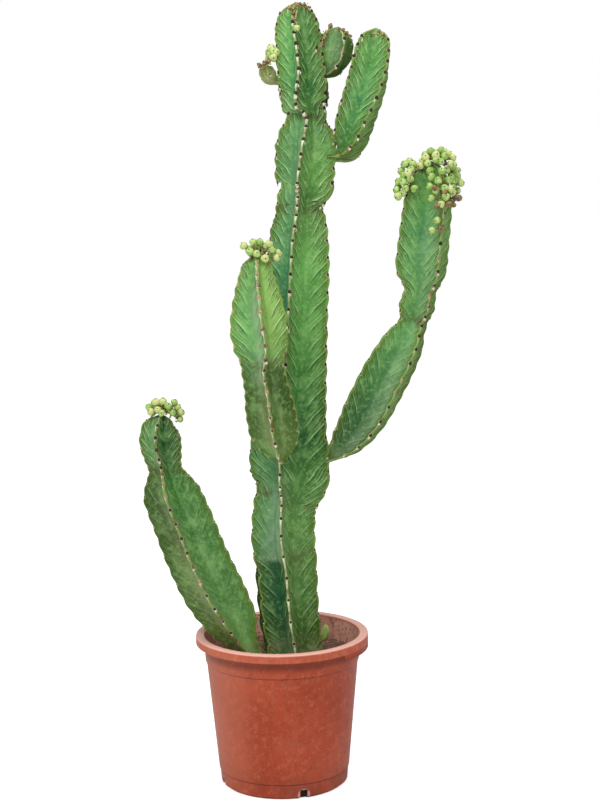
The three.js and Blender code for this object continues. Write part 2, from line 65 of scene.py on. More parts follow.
MM = 0.001
FRONT = np.array([0.0, -1.0, 0.0])  # the side of a stem nearest the camera

# The container's wall and its drain notches, in metres and degrees.
WALL_RADIUS, WALL_TAPER = 0.1112, 0.0945  # of the outside, at z = 0 and for each metre up
INSIDE_RADIUS, INSIDE_TAPER = 0.1076, 0.1039  # of the inside, from the floor up
POT_FLOOR = 0.0034
DRAIN_AZIMUTHS = (17, 107, 197, 287)
DRAIN_RADIUS, DRAIN_LEVEL = 0.1085, 0.0075


def outer_wall(z):
    """Radius of the wall's outside at a height."""
    return WALL_RADIUS + WALL_TAPER * z


def inner_wall(z):
    """Radius of the wall's inside at a height."""
    return INSIDE_RADIUS + INSIDE_TAPER * (z - POT_FLOOR)


# ------------------------------------------------------------------- stems
# A station of a stem: x, y, z of its core and the reach of its ribs in
# millimetres, the azimuth of its front rib, and the spacing of its spines.

TRUNK = [
    (20, 0, 188, 30, 4, 32), (20, 0, 208, 49, 4, 32), (19, 0, 242, 54, 4, 38), (13, 0, 292, 56, 3, 39),
    (10, 0, 341, 57, 2, 39), (9, 0, 385, 58, 0, 38), (7, 0, 438, 59, -5, 35), (10, 0, 481, 58.5, -8, 25),
    (14, 0, 502, 58, -11, 16), (20, 0, 519, 66, -17, 17), (25, 0, 545, 76.5, -19, 26),
    (25, 0, 587, 76, -18, 30), (27, 0, 628, 68, -17, 31), (31, 0, 709, 65, -17, 31),
    (35, 0, 777, 63, -17, 31), (38, 0, 829, 61.5, -17, 30), (42, 0, 887, 60.5, -17, 29),
    (45, 0, 939, 57, -17, 27), (46, 0, 975, 51, -14, 21), (45, 0, 1001, 43, -9, 14),
    (48, 0, 1018, 42.5, -12, 12), (57, 0, 1035, 53, -22, 15), (58, 0, 1058, 56, -18, 24),
    (58, 0, 1106, 55.5, -10, 25), (57, 0, 1132, 47, -3, 19), (58, 0, 1147, 37, 0, 13),
    (60, 0, 1159, 35, -10, 12), (57, 0, 1176, 43, -26, 14), (57, 0, 1200, 46.5, -22, 20),
    (51, 0, 1237, 43.5, -8, 21), (49, 0, 1272, 42.5, -10, 19), (47, 0, 1300, 40.5, -14, 17),
    (45, 0, 1324, 31, -15, 15), (45, 0, 1338, 11, -15, 13),
]
BRANCH_LEFT = [
    (-37, -12, 206, 12, -7, 24), (-51, -18, 232, 18, -7, 24), (-66, -22, 254, 27, -7, 22),
    (-86, -22, 292, 47, -7, 26), (-120, -22, 354, 55.5, -7, 27), (-145, -22, 411, 55, -7, 27),
    (-165, -22, 467, 54, -7, 27), (-184, -22, 518, 51.5, -7, 24), (-190, -22, 543, 41, -8, 17),
    (-194, -22, 564, 30, -8, 13), (-197, -22, 582, 33.5, -8, 15), (-201, -22, 610, 37.5, -9, 20),
    (-201, -22, 634, 32, -9, 19), (-198, -22, 648, 20, -9, 15), (-197, -22, 655, 8, -9, 13),
]
BRANCH_FRONT = [
    (12, -50, 576, 5, -6, 20), (7, -64, 583, 9, -6, 20), (2, -82, 598, 23, -5, 18),
    (-2, -94, 618, 37, -4, 19), (-7, -100, 642, 43, -3, 20), (-12, -104, 674, 42.5, -1, 20),
    (-17, -106, 707, 38.5, 1, 19), (-23, -107, 741, 36.5, 3, 16), (-24, -107, 757, 38.5, 8, 18),
    (-26, -107, 783, 47.5, 12, 25), (-28, -107, 810, 49.5, 9, 27), (-29, -106, 834, 46.5, 6, 26),
    (-30, -105, 872, 38, 5, 20), (-30, -105, 900, 29.5, 2, 15), (-29, -104, 916, 24, 0, 12),
    (-29, -104, 925, 15, 0, 10),
]
BRANCH_RIGHT = [
    (68, -31, 572, 4, 30, 24), (79, -37, 576, 7, 30, 24), (89, -41, 582, 12.5, 30, 22),
    (99, -43, 591, 21.5, 30, 22), (114, -43, 606, 34.5, 30, 24), (135, -42, 632, 44.5, 30, 26),
    (157, -41, 669, 50.5, 30, 27), (180, -40, 712, 50.5, 29, 27), (199, -40, 746, 48, 29, 26),
    (216, -39, 777, 42, 29, 22), (228, -38, 801, 30.5, 29, 17), (232, -38, 813, 29.5, 29, 15),
    (237, -38, 833, 37, 29, 17), (243, -38, 860, 33.5, 29, 17), (246, -38, 884, 47, 29, 20),
    (246, -38, 905, 53, 29, 24), (252, -38, 960, 51.5, 29, 25), (257, -38, 1004, 50, 30, 23),
    (260, -38, 1040, 41, 31, 20), (261, -38, 1062, 29, 31, 16), (261, -38, 1073, 14, 31, 13),
]
BRANCH_TOP_RIGHT = [
    (90, -24, 1087, 5, 0, 20), (103, -28, 1087, 9, 0, 20), (115, -30, 1091, 17, 0, 20),
    (122, -30, 1097, 23, 4, 20), (126, -29, 1105, 28, 9, 22), (131.5, -29, 1122, 33.5, 19, 24),
    (138.5, -29, 1147, 37, 24, 24), (144, -29, 1164, 39.5, 29, 22), (154, -29, 1193, 41.5, 33, 21),
    (160.5, -29, 1218, 42.5, 37, 19), (166, -29, 1249, 42, 42, 18), (171, -29, 1272, 37, 42, 16),
    (173, -29, 1284, 29, 42, 13), (174, -29, 1291, 16, 42, 11),
]
LOBE_RIGHT = [
    (84, -12, 1222, 5, 25, 22), (91, -9, 1225, 11, 25, 22), (97, -6, 1232, 21, 25, 22),
    (102, -4, 1244, 30, 25, 24), (106, -4, 1260, 35.5, 25, 24), (109, -4, 1276, 33, 25, 20),
    (111, -4, 1288, 25, 25, 15), (112, -4, 1296, 13, 25, 12),
]
LOBE_LEFT = [
    (13, -1, 1209, 4, 10, 26), (8, -1, 1212, 6.5, 10, 26), (2, -2, 1216, 11.5, 10, 22),
    (-4, -3, 1222, 14.5, 10, 20), (-8, -3, 1229, 14, 10, 19), (-11, -3, 1235, 10, 10, 17),
    (-12, -3, 1239, 5, 10, 15),
]
SPROUT = [
    (59, -10, 250, 3.5, 20, 23), (68, -13, 255, 6, 20, 23), (74, -15, 264, 9, 20, 20),
    (76, -15, 274, 8, 20, 17), (76, -15, 281, 3, 20, 14),
]

# For each stem: its stations, number of ribs, how deep the valleys reach, the height
# below which it has no spines, the heights of old growth stops (where the skin is
# corky), how cream the front rib's edge is, how pink its shields are, how much larger
# they are on the front rib, and the shields' size and the notches' depth by height. A
# row of skin is a height, tone and light of the left-hand panels, tone and light of
# the right-hand panels, wax beside the front rib, and how far the raised lines show.
# Tone runs from 0 olive to 1 blue-green, and light from 0 dark to 1 pale. The light
# is partly the skin's own and partly painted light and shade: panels turned to the
# lamps are paler, and those turned away or shaded by other stems darker.
STEMS = {
    "trunk": dict(
        stations=TRUNK, ribs=5, valley=0.45, bare_below=238, stops=(225, 400, 503, 1001, 1156), cream=1.0,
        pink=0.12,
        shields=[(240, 0.75, 3.4), (500, 0.85, 3.6), (950, 0.95, 3.8), (1150, 1.0, 4.2), (1200, 1.15, 3.4),
                 (1340, 1.1, 3.4)],
        skin=[(230, 0.6, 0.05, 0.15, 0.1, 0.3, 0.8), (330, 0.8, 0.1, 0.3, 0.25, 0, 0.8),
              (396, 0.85, 0.1, 0.3, 0.3, 0, 0.6), (402, 0.85, 0.35, 0.3, 0.3, 1.0, 0.6),
              (500, 0.8, 0.5, 0.35, 0.3, 0.75, 0.6), (580, 0.8, 0.5, 0.45, 0.15, 0.2, 0.8),
              (620, 0.9, 0.45, 0.7, 0.1, 0, 0.9), (760, 0.95, 0.5, 0.5, 0.4, 0, 0.9),
              (900, 1.0, 0.6, 0.5, 0.75, 0, 0.9), (990, 0.8, 0.65, 0.35, 0.4, 0.3, 0.9),
              (1060, 0.75, 0.6, 0.35, 0.45, 0.3, 0.7), (1120, 0.7, 0.6, 0.4, 0.45, 0.5, 0.7),
              (1200, 0.75, 0.78, 0.6, 0.18, 0, 1.0), (1340, 0.6, 0.85, 0.4, 0.3, 0, 0.9)]),
    "branch_left": dict(
        stations=BRANCH_LEFT, ribs=4, valley=0.38, bare_below=250, stops=(235, 564), cream=0.55, pink=0.45,
        front_shields=1.5,
        shields=[(230, 0.55, 2.4), (530, 0.6, 2.6), (580, 0.65, 2.2), (650, 0.7, 2.2)],
        skin=[(230, 0.0, 0.45, 0.35, 1.0, 1.0, 0.1), (275, 0.0, 0.35, 0.35, 0.7, 1.0, 0.15),
              (330, 0.0, 0.1, 0.4, 0.4, 0.9, 0.2), (520, 0.15, 0.0, 0.5, 0.3, 0.5, 0.2),
              (560, 0.2, 0.1, 0.5, 0.2, 0.5, 0.2), (585, 0.5, 0.3, 0.55, 0.0, 0.7, 0.7),
              (650, 0.5, 0.25, 0.55, 0.0, 0.7, 0.7)]),
    "branch_front": dict(
        stations=BRANCH_FRONT, ribs=4, valley=0.38, bare_below=592, stops=(748, 925), cream=0.7, pink=0.8,
        front_shields=1.4,
        shields=[(590, 0.5, 2.2), (740, 0.65, 2.4), (790, 0.85, 3.6), (930, 0.75, 3.0)],
        skin=[(590, 0.2, 0.4, 0.0, 0.4, 0.9, 0.05), (680, 0.1, 0.0, 0.05, 0.0, 0.5, 0.05),
              (735, 0.3, 0.15, 0.1, 0.05, 0.9, 0.1), (765, 0.6, 0.65, 0.2, 0.6, 0.8, 1),
              (850, 0.6, 0.85, 0.15, 1.0, 0.7, 1), (930, 0.4, 0.75, 0.15, 0.95, 0.1, 0.8)]),
    "branch_right": dict(
        stations=BRANCH_RIGHT, ribs=4, valley=0.38, bare_below=588, stops=(580, 813), cream=0.3, pink=0.5,
        front_shields=1.4,
        shields=[(580, 0.55, 2.4), (780, 0.7, 2.6), (880, 0.75, 3.2), (1070, 0.8, 3.0)],
        skin=[(580, 0.5, 0.0, 0.0, 0.35, 0.4, 0.3), (660, 0.65, 0.12, 0.0, 0.4, 0.4, 0.3),
              (780, 0.65, 0.55, 0.0, 0.3, 0.3, 0.35), (830, 0.6, 0.4, 0.25, 0.3, 0.3, 0.7),
              (960, 0.75, 0.55, 0.3, 0.75, 0.3, 0.8), (1070, 0.35, 0.5, 0.2, 0.65, 0, 0.5)]),
    "branch_top_right": dict(
        stations=BRANCH_TOP_RIGHT, ribs=4, valley=0.38, bare_below=1100, stops=(1088,), cream=0.2, pink=0.3,
        shields=[(1090, 0.9, 3.2), (1290, 1.1, 3.0)],
        skin=[(1090, 0.5, 0.25, 0.1, 0.3, 0, 0.8), (1180, 0.75, 0.5, 0.2, 0.6, 0, 0.8),
              (1290, 0.5, 0.6, 0.25, 0.5, 0, 0.7)]),
    "lobe_right": dict(
        stations=LOBE_RIGHT, ribs=4, valley=0.5, bare_below=1234, stops=(1222,), cream=0.5, pink=0.4,
        shields=[(1230, 0.9, 2.4), (1290, 1.0, 2.4)],
        skin=[(1225, 0.4, 0.05, 0.2, 0.15, 0.4, 0.2), (1295, 0.4, 0.15, 0.2, 0.4, 0.3, 0.2)]),
    "lobe_left": dict(
        stations=LOBE_LEFT, ribs=4, valley=0.62, bare_below=1214, stops=(), cream=0.0, pink=0.4,
        shields=[(1200, 0.8, 2.0), (1240, 0.8, 2.0)],
        skin=[(1205, 0.0, 0.3, 0.1, 0.4, 0, 0.3), (1240, 0.0, 0.4, 0.0, 0.6, 0, 0.3)]),
    "sprout": dict(
        stations=SPROUT, ribs=4, valley=0.6, bare_below=400, stops=(250,), cream=0.0, pink=0.4,
        shields=[(240, 0.6, 2.0), (290, 0.6, 2.0)],
        skin=[(250, 0.0, 0.8, 0.0, 0.9, 0, 0.3), (281, 0.0, 1.0, 0.0, 1.0, 0, 0.3)]),
}

# Below a growth stop the trunk's ribs stand at other azimuths.
RIB_SHIFT = (0, 0, 11, 33, 13)
SHIFT_HEIGHT = 400
SHIFT_BAND = 9

# Rows of corners in each scallop, as shares of the spacing, closest at a raised line.
ROWS = (0.0, 0.03, 0.07, 0.15, 0.27, 0.40, 0.47, 0.53, 0.66, 0.79, 0.88, 0.93, 0.97)
EDGE_HALF = 2.3  # half thickness of a rib's edge, millimetres
BEAD_DEPTH = 3.0  # how far its rounding reaches inwards
BEAD_ANGLES = (-68, -36, 0, 36, 68)  # columns on the rounding, degrees
BOSS = 0.55  # how much wider the edge is at a shield
BOSS_REACH = 4.5  # of that swelling along the rib, millimetres
MOST_NOTCH = 0.08  # depth of a notch, at most, as a share of the rib's reach
FLANK_CURVE = 1.45  # how a rib thins from valley to edge
EDGE_JOIN = 0.86  # half thickness of a flank where it meets the edge, as a share of the edge's
FLANK_STEPS = (0.0, 0.07, 0.15, 0.25, 0.36, 0.48, 0.59, 0.70, 0.80, 0.88, 0.94)
LINE_SLOPE = 1.1  # fall of the raised lines for each millimetre inwards
LINE_START = 0.2  # where a line leaves the edge, as a share of the spacing below a shield
LINE_RELIEF = 1.25  # height of the swelling above a line, millimetres
THIN_EDGE, THIN_BEAD, THIN_RELIEF = 0.16, 0.2, 0.036  # their most, as shares of a thin stem's reach
LINE_MEAN = 0.42  # of the swelling, taken off so that it adds no girth
SMALL_LINES = 0.42  # swelling of the lines between, as a share
STRAIGHT_ENDS = 4.0  # spacings over which the rows turn level at each end
CORK_REACH = 9  # of the cork at a growth stop, millimetres
# Left-hand and right-hand skin differ partly in painted light and shade, by the way a panel faces.
SKIN_TURN = (-0.15, 0.25)  # sines of azimuth from left-hand to right-hand skin
MOST_SHEAR = 0.42  # of the rows along the lines, as a share of the run at each end


def eased(values, u):
    """A value along the stations, smooth and without overshoot."""
    values = np.asarray(values, float)
    steps = np.diff(values)
    before, after = steps[:-1], steps[1:]
    total = np.where(np.abs(before + after) < 1e-9, 1.0, before + after)
    inner = np.where(before * after <= 0, 0.0, 2 * before * after / total)
    slopes = np.concatenate([steps[:1], inner, steps[-1:]])
    i = np.minimum(u.astype(int), len(values) - 2)
    t = u - i
    return (
        (2 * t**3 - 3 * t**2 + 1) * values[i] + (t**3 - 2 * t**2 + t) * slopes[i]
        + (3 * t**2 - 2 * t**3) * values[i + 1] + (t**3 - t**2) * slopes[i + 1]
    )


def core_line(points, u):
    """Points on a smooth curve through the stations."""
    line = np.vstack([2 * points[0] - points[1], points, 2 * points[-1] - points[-2]])
    i = np.minimum(u.astype(int), len(points) - 2)
    t = (u - i)[:, None]
    p0, p1, p2, p3 = line[i], line[i + 1], line[i + 2], line[i + 3]
    g0, g1, g2 = (np.sqrt(np.linalg.norm(b - a, axis=1))[:, None]
                  for a, b in ((p0, p1), (p1, p2), (p2, p3)))
    start = ((p1 - p0) / g0 - (p2 - p0) / (g0 + g1) + (p2 - p1) / g1) * g1
    end = ((p2 - p1) / g1 - (p3 - p1) / (g1 + g2) + (p3 - p2) / g2) * g1
    return (p1 + start * t + (3 * (p2 - p1) - 2 * start - end) * t**2
            + (2 * (p1 - p2) + start + end) * t**3)


def traced(stem):
    """The stem's core line, with its reach, turn, spine spacing and scallop count."""
    stations = np.array(stem["stations"], float)
    spans = len(stations) - 1
    u = np.linspace(0, spans, spans * 24 + 1)
    point = core_line(stations[:, :3], u)
    pitch = eased(stations[:, 5], u)
    run = np.linalg.norm(np.diff(point, axis=0), axis=1)
    count = np.concatenate([[0], np.cumsum(run / pitch[1:])])
    whole = max(2, round(count[-1]))
    along = np.empty_like(point)
    along[1:-1] = point[2:] - point[:-2]
    along[0], along[-1] = point[1] - point[0], point[-1] - point[-2]
    along /= np.linalg.norm(along, axis=1)[:, None]
    table = np.column_stack([
        point, along, eased(stations[:, 3], u), eased(stations[:, 4], u), pitch,
    ])
    return count * whole / count[-1], table, whole


def stem_at(count, table, scallops):
    """Places along the stem at these scallop counts."""
    rows = np.column_stack([np.interp(scallops, count, column) for column in table.T])
    along = rows[:, 3:6] / np.linalg.norm(rows[:, 3:6], axis=1)[:, None]
    front = FRONT - along * (along @ FRONT)[:, None]
    front /= np.linalg.norm(front, axis=1)[:, None]
    right = np.cross(along, front)
    return rows[:, :3], along, front, right, rows[:, 6], rows[:, 7], rows[:, 8]


def rib_azimuths(stem, turn, z):
    """Azimuth of each rib at each place, in degrees."""
    ribs = turn[:, None] + np.arange(stem["ribs"]) * 360 / stem["ribs"]
    if stem["ribs"] == len(RIB_SHIFT):
        ribs = ribs + np.array(RIB_SHIFT) * smoothstep(SHIFT_HEIGHT - z, -SHIFT_BAND, SHIFT_BAND)[:, None]
    return ribs


def notch_depth(stem, reach, z):
    """How deep the notches are at each place, in millimetres."""
    heights, _, depths = zip(*stem["shields"])
    return np.minimum(np.interp(z, heights, depths), reach * MOST_NOTCH)


def smoothstep(value, low, high):
    """0 up to low, 1 from high on, and smooth between."""
    t = np.clip((value - low) / (high - low), 0, 1)
    return t * t * (3 - 2 * t)


def scallop(scallops):
    """0 at a notch, 1 at the fullest place, which lies just below the next notch."""
    t = scallops - np.floor(scallops)
    return np.sin(math.pi * t**1.7) ** 0.8


def tubercle(phase):
    """The swelling above a raised line, which falls off slowly upwards and fast downwards."""
    t = phase - np.floor(phase)
    vein = np.exp(-(np.minimum(t, 1 - t) / 0.035) ** 2)
    return 1 - smoothstep(t, 0.0, 0.8) + smoothstep(t, 0.8, 0.99) + 0.3 * vein


def stem_mesh(name):
    """A stem as one closed mesh. Its rows of corners slope along the raised lines, and the
    skin's measures are kept as attributes."""
    stem = STEMS[name]
    ribs = stem["ribs"]
    count, table, whole = traced(stem)
    rows = np.append((np.arange(whole)[:, None] + np.array(ROWS) - LINE_START).ravel(), whole)
    rows = np.insert(np.clip(rows[rows > 0.02], 0, whole), 0, 0.0)
    near_end = min(STRAIGHT_ENDS, whole / 2)
    settled = smoothstep(rows, 0, near_end) * smoothstep(whole - rows, 0, near_end)
    skin = np.array(stem["skin"], float).T
    columns = []

    def column(rib, hand, q, bead=None):
        """One column of corners on a flank, from valley (q = 0) to edge (q = 1), or on the
        rounded edge at an angle."""
        level = rows
        for _ in range(2):
            point, _, front, right, reach, turn, pitch = stem_at(count, table, level)
            azimuths = np.radians(rib_azimuths(stem, turn, point[:, 2]))
            here = azimuths[:, rib]
            if hand < 0:
                beside = azimuths[:, rib - 1] - (2 * math.pi if rib == 0 else 0)
            else:
                beside = azimuths[:, (rib + 1) % ribs] + (2 * math.pi if rib == ribs - 1 else 0)
            half_gap = np.abs(here - beside) / 2
            tip = reach - notch_depth(stem, reach, point[:, 2]) * (1 - scallop(level))
            boss = np.exp(-((level - np.round(level)) * pitch / BOSS_REACH) ** 2)
            edge = np.minimum(EDGE_HALF, reach * THIN_EDGE) * (1 + BOSS * boss)
            round_off = np.minimum(BEAD_DEPTH, reach * THIN_BEAD)
            floor = reach * stem["valley"]
            out_valley, thick = floor * np.cos(half_gap), floor * np.sin(half_gap)
            inward = np.hypot(tip - out_valley, thick - edge) * (1 - q)
            shear = np.minimum(LINE_SLOPE * inward / pitch, MOST_SHEAR * near_end)
            level = rows - shear * settled
        height = point[:, 2]
        wander = 0.7 * np.sin(height / 17 + 2.1 * rib + hand) + 0.4 * np.sin(height / 7.3 + 6 * q)
        phase = level + LINE_START + (LINE_SLOPE * inward + wander * (1 - q)) / pitch
        if bead is not None:
            a = math.radians(bead)
            out = tip - round_off * (1 - math.cos(a))
            side = edge * math.sin(a) * 1.04
            inward = round_off * (1 - math.cos(a)) * 0.5
        elif q == 0:
            out, side = out_valley, hand * thick
        else:
            relief = np.minimum(LINE_RELIEF, reach * THIN_RELIEF) * np.interp(height, skin[0], skin[6])
            swell = tubercle(phase) - LINE_MEAN + SMALL_LINES * (tubercle(phase + 0.5) - LINE_MEAN)
            half = edge * EDGE_JOIN + (thick - edge * EDGE_JOIN) * (1 - q) ** FLANK_CURVE
            half += relief * swell * min(1.0, q / 0.45) ** 1.5 * (1 - 0.6 * q**4)
            out = out_valley + (tip - round_off - out_valley) * q
            side = hand * half
        c, s = np.cos(here)[:, None], np.sin(here)[:, None]
        out, side = out[:, None], np.broadcast_to(side, inward.shape)[:, None]
        spot = point + front * (c * out - s * side) + right * (s * out + c * side)
        # painted shading: each panel takes the left-hand or right-hand skin's light by the way it faces
        panel = smoothstep(np.sin((here + beside) / 2), *SKIN_TURN)
        if bead is not None and abs(bead) < 40:
            panel = 0.5 * panel + 0.5 * smoothstep(np.sin(here + half_gap), *SKIN_TURN)
        left_tone, left_light, right_tone, right_light, wax, lines = (
            np.interp(height, skin[0], row) for row in skin[1:])
        waxed, cream = 0.1 * (1 - q), 0.0
        if bead is not None:
            waxed = 0.0
            # the front rib's edge is cream on its left, a pale colour with a painted highlight in it
            if rib == 0 and bead < 40 * stem["cream"] - 30:
                cream = stem["cream"]
        elif rib == 0 and hand < 0:
            waxed = smoothstep(q, -0.25, 0.35) * (1 - 0.6 * smoothstep(q, 0.75, 1.0))
        elif rib == 0:
            waxed = 0.4 * q**1.5
        elif rib == ribs - 1 and hand > 0:
            waxed = (0.8 if ribs == 5 else 0.3) * (1 - q) ** 1.3
        cork = sum((np.exp(-((height - z) / CORK_REACH) ** 2) for z in stem["stops"]), np.zeros_like(height))
        columns.append((spot, np.column_stack([phase, inward, pitch]), np.column_stack([
            np.full_like(height, 1 - q), left_tone + (right_tone - left_tone) * panel,
            left_light + (right_light - left_light) * panel,
        ]), np.column_stack([level, wax * waxed - cream, cork]), lines))

    for rib in range(ribs):
        for q in FLANK_STEPS[1:]:
            column(rib, -1, q)
        for angle in BEAD_ANGLES:
            column(rib, -1 if angle < 0 else 1, 1.0, angle)
        for q in FLANK_STEPS[::-1]:
            column(rib, 1, q)

    width, top = len(columns), (len(rows) - 1) * len(columns)
    corners = np.stack([c[0] for c in columns], axis=1).reshape(-1, 3)
    point, along, _, _, reach, _, _ = stem_at(count, table, np.array([0.0, whole]))
    ends = point[0] - along[0] * 0.5, point[1] + along[1] * reach[1] * 0.35
    corners = np.vstack([corners, *ends]) * MM
    faces = []
    beside = [(c, (c + 1) % width) for c in range(width)]
    for low in range(0, top, width):
        faces += [(low + a, low + b, low + width + b, low + width + a) for a, b in beside]
    foot, crown = top + width, top + width + 1
    faces += [(foot, b, a) for a, b in beside] + [(crown, top + a, top + b) for a, b in beside]
    mesh = bpy.data.meshes.new(name + "_skin")
    mesh.from_pydata(corners.tolist(), [], faces)
    mesh.update()
    for k, title in enumerate(("rib_map", "rib_place", "rib_more"), start=1):
        data = np.stack([c[k] for c in columns], axis=1).reshape(-1, 3)
        data = np.vstack([data, data[0], data[-1]]).astype(np.float32)
        mesh.attributes.new(title, "FLOAT_VECTOR", "POINT").data.foreach_set("vector", data.ravel())
    lines = np.stack([c[4] for c in columns], axis=1).ravel()
    lines = np.append(lines, (lines[0], lines[-1])).astype(np.float32)
    mesh.attributes.new("rib_lines", "FLOAT", "POINT").data.foreach_set("value", lines)
    return mesh


def shield_places(name):
    """Where each spine shield sits: one in every notch of every rib."""
    stem = STEMS[name]
    count, table, whole = traced(stem)
    level = np.arange(1, whole, dtype=float)
    point, along, front, right, reach, turn, _ = stem_at(count, table, level)
    azimuths = np.radians(rib_azimuths(stem, turn, point[:, 2]))
    places = []
    heights, sizes, _ = zip(*stem["shields"])
    for k in range(len(level)):
        if point[k][2] < stem["bare_below"]:
            continue
        size = min(1.0, reach[k] / 34 + 0.15) * np.interp(point[k][2], heights, sizes)
        tip = reach[k] - notch_depth(stem, reach[k], point[k][2])
        for rib, azimuth in enumerate(azimuths[k]):
            out = front[k] * math.cos(azimuth) + right[k] * math.sin(azimuth)
            turned = np.eye(4)
            turned[:3] = np.column_stack(
                [np.cross(along[k], out), along[k], out, (point[k] + out * tip) * MM])
            wider = stem.get("front_shields", 1.0) if rib == 0 else 1.0
            places.append((Matrix(turned.tolist()), size * wider))
    return places


# ---------------------------------------------------------------- capsules
# For each bunch: the woody line that its stalks stand on, and the centre of each
# capsule, in millimetres. A fourth value is the size of a small or dried one. The last
# bunches are dried flowers and tiny buds, which stand for no node of their own.
BUNCHES = {
    "berries_left": (
        [(-216, -25, 653), (-207, -26, 660), (-196, -22, 662), (-182, -19, 658), (-172, -20, 650)],
        [(-219, -26, 671), (-194, -30, 681), (-206, -22, 673), (-187, -24, 669), (-197, -38, 662),
         (-178, -33, 661), (-170, -20, 669), (-164, -26, 661), (-198, -4, 672), (-184, -4, 665),
         (-212, -10, 664), (-166, -22, 648), (-215, -32, 664), (-206, -30, 680), (-186, -36, 674),
         (-203, -38, 668), (-175, -24, 678), (-210, -14, 676), (-176, -8, 658)]),
    "berries_front": (
        [(-46, -107, 921), (-38, -108, 928), (-28, -106, 931), (-17, -106, 928), (-7, -107, 920)],
        [(-50, -112, 947), (-35, -115, 953), (-30, -102, 946), (-29, -121, 934), (-16, -120, 926),
         (-4, -113, 940), (-14, -110, 946), (6, -106, 934), (-41, -98, 940), (-20, -98, 943),
         (-9, -116, 950), (-40, -119, 938), (3, -112, 926), (-24, -112, 953)]),
    "berries_right_outer": (
        [(216, -62, 1022), (221, -61, 1037), (227, -58, 1051), (234, -54, 1064)],
        [(217, -60, 1073), (231, -60, 1074), (227, -70, 1065), (214, -68, 1055), (225, -72, 1049),
         (207, -62, 1045), (217, -75, 1034), (232, -72, 1033), (203, -66, 1031), (205, -74, 1021),
         (212, -54, 1062), (206, -56, 1036), (225, -58, 1078), (222, -74, 1059), (213, -74, 1045),
         (213, -72, 1026)]),
    "berries_right_top": (
        [(247, -48, 1072), (256, -43, 1079), (268, -38, 1080), (280, -34, 1073)],
        [(262, -50, 1094), (279, -46, 1095), (252, -60, 1084), (269, -60, 1087), (284, -54, 1085),
         (299, -40, 1082), (270, -62, 1080), (255, -64, 1074), (259, -62, 1062), (292, -34, 1088),
         (254, -33, 1087), (270, -30, 1090), (286, -34, 1092), (280, -22, 1084), (248, -52, 1078),
         (262, -36, 1093), (277, -60, 1076), (294, -52, 1072), (300, -46, 1070), (243, -58, 1070),
         (262, -66, 1050)]),
    "berries_right_low": (
        [(276, -85, 962), (278, -85, 982), (279, -84, 1001), (281, -81, 1020), (281, -77, 1038),
         (279, -70, 1054)],
        [(260, -80, 1052), (256, -88, 1037), (258, -92, 1018), (282, -94, 1020), (267, -97, 982),
         (259, -93, 965), (288, -82, 1046), (270, -90, 1046), (274, -96, 1008), (266, -88, 1030),
         (280, -92, 1034), (291, -88, 1032), (274, -92, 968, 0.8), (287, -90, 1008, 0.85),
         (280, -96, 1028, 0.75), (268, -97, 1005, 0.8), (264, -95, 1034, 0.75), (276, -90, 1062)]),
    "berries_right_side": (
        [(301, -13, 1021), (299, -15, 1036), (295, -18, 1050)],
        [(299, -22, 1064), (308, -20, 1050), (302, -31, 1044), (314, -21, 1039), (309, -12, 1026),
         (300, -30, 1034), (310, -8, 1060), (306, -28, 1056), (311, -18, 1014, 0.9), (299, -34, 1024),
         (305, -30, 1016, 0.8), (301, -26, 1003, 0.75), (296, -38, 1051), (288, -50, 1062),
         (289, -52, 1046)]),
    "berries_right_rear": (
        [(234, 4, 1021), (237, 2, 1034), (241, -4, 1048), (246, -10, 1060)],
        [(228, 8, 1050), (243, 12, 1054), (244, 17, 1035), (226, 13, 1030), (250, 3, 1068), (234, 14, 1042),
         (240, 4, 1066), (236, 16, 1022)]),
    "berries_crown": (
        [(3, 1, 1246), (3, 1, 1264)],
        [(0, -3, 1268), (4, -10, 1262), (9, -9, 1260), (-3, -3, 1257), (4, -12, 1251), (-3, 10, 1261),
         (1, 6, 1269), (-4, 8, 1250)]),
    "berries_tip": (
        [(44, -41, 1304), (38, -38, 1314), (34, -31, 1327)],
        [(43, -45, 1297), (32, -38, 1331, 0.65), (44, -26, 1336, 0.7)]),
    "dry_tip": (
        [(46, -20, 1335), (56, -22, 1335), (62, -22, 1331)],
        [(50, -24, 1338, 0.35), (57, -25, 1336, 0.3), (63, -24, 1332, 0.35), (37, -37, 1322, 0.4),
         (41, -42, 1312, 0.35)]),
    "dry_twig": (
        [(84, -24, 1272), (90, -27, 1284), (97, -28, 1296)],
        [(99, -30, 1301, 0.6), (93, -31, 1290, 0.45), (88, -30, 1279, 0.5), (85, -29, 1270, 0.4)]),
    "dry_lobe": (
        [(112, -14, 1293), (120, -18, 1292), (128, -20, 1286)],
        [(114, -18, 1296, 0.4), (121, -22, 1295, 0.4), (127, -23, 1290, 0.35), (133, -22, 1284, 0.3)]),
    "dry_paddle": (
        [(166, -58, 1282), (176, -54, 1288), (184, -50, 1285)],
        [(168, -60, 1284, 0.35), (177, -57, 1289, 0.35), (186, -53, 1286, 0.3)]),
    "dry_shoot": (
        [(-17, -14, 1236), (-9, -16, 1238), (-3, -15, 1242)],
        [(-20, -16, 1240, 0.55), (-11, -19, 1243, 0.6), (-4, -18, 1246, 0.5), (-15, -18, 1233, 0.45)]),
}


# ------------------------------------------------------------ modelling aids


def clear_selection():
    """Nothing is selected, so the next operator acts on new work only."""
    if bpy.context.object and bpy.context.object.mode != "OBJECT":
        bpy.ops.object.mode_set(mode="OBJECT")
    bpy.ops.object.select_all(action="DESELECT")


def pick(piece):
    """Only this piece is selected and active."""
    clear_selection()
    piece.select_set(True)
    bpy.context.view_layer.objects.active = piece


def named(title):
    """The primitive just added, under its own name."""
    piece = bpy.context.object
    piece.name = title
    piece.data.name = title
    return piece


def placed(title, data):
    """A new object in the scene."""
    piece = bpy.data.objects.new(title, data)
    bpy.context.scene.collection.objects.link(piece)
    return piece


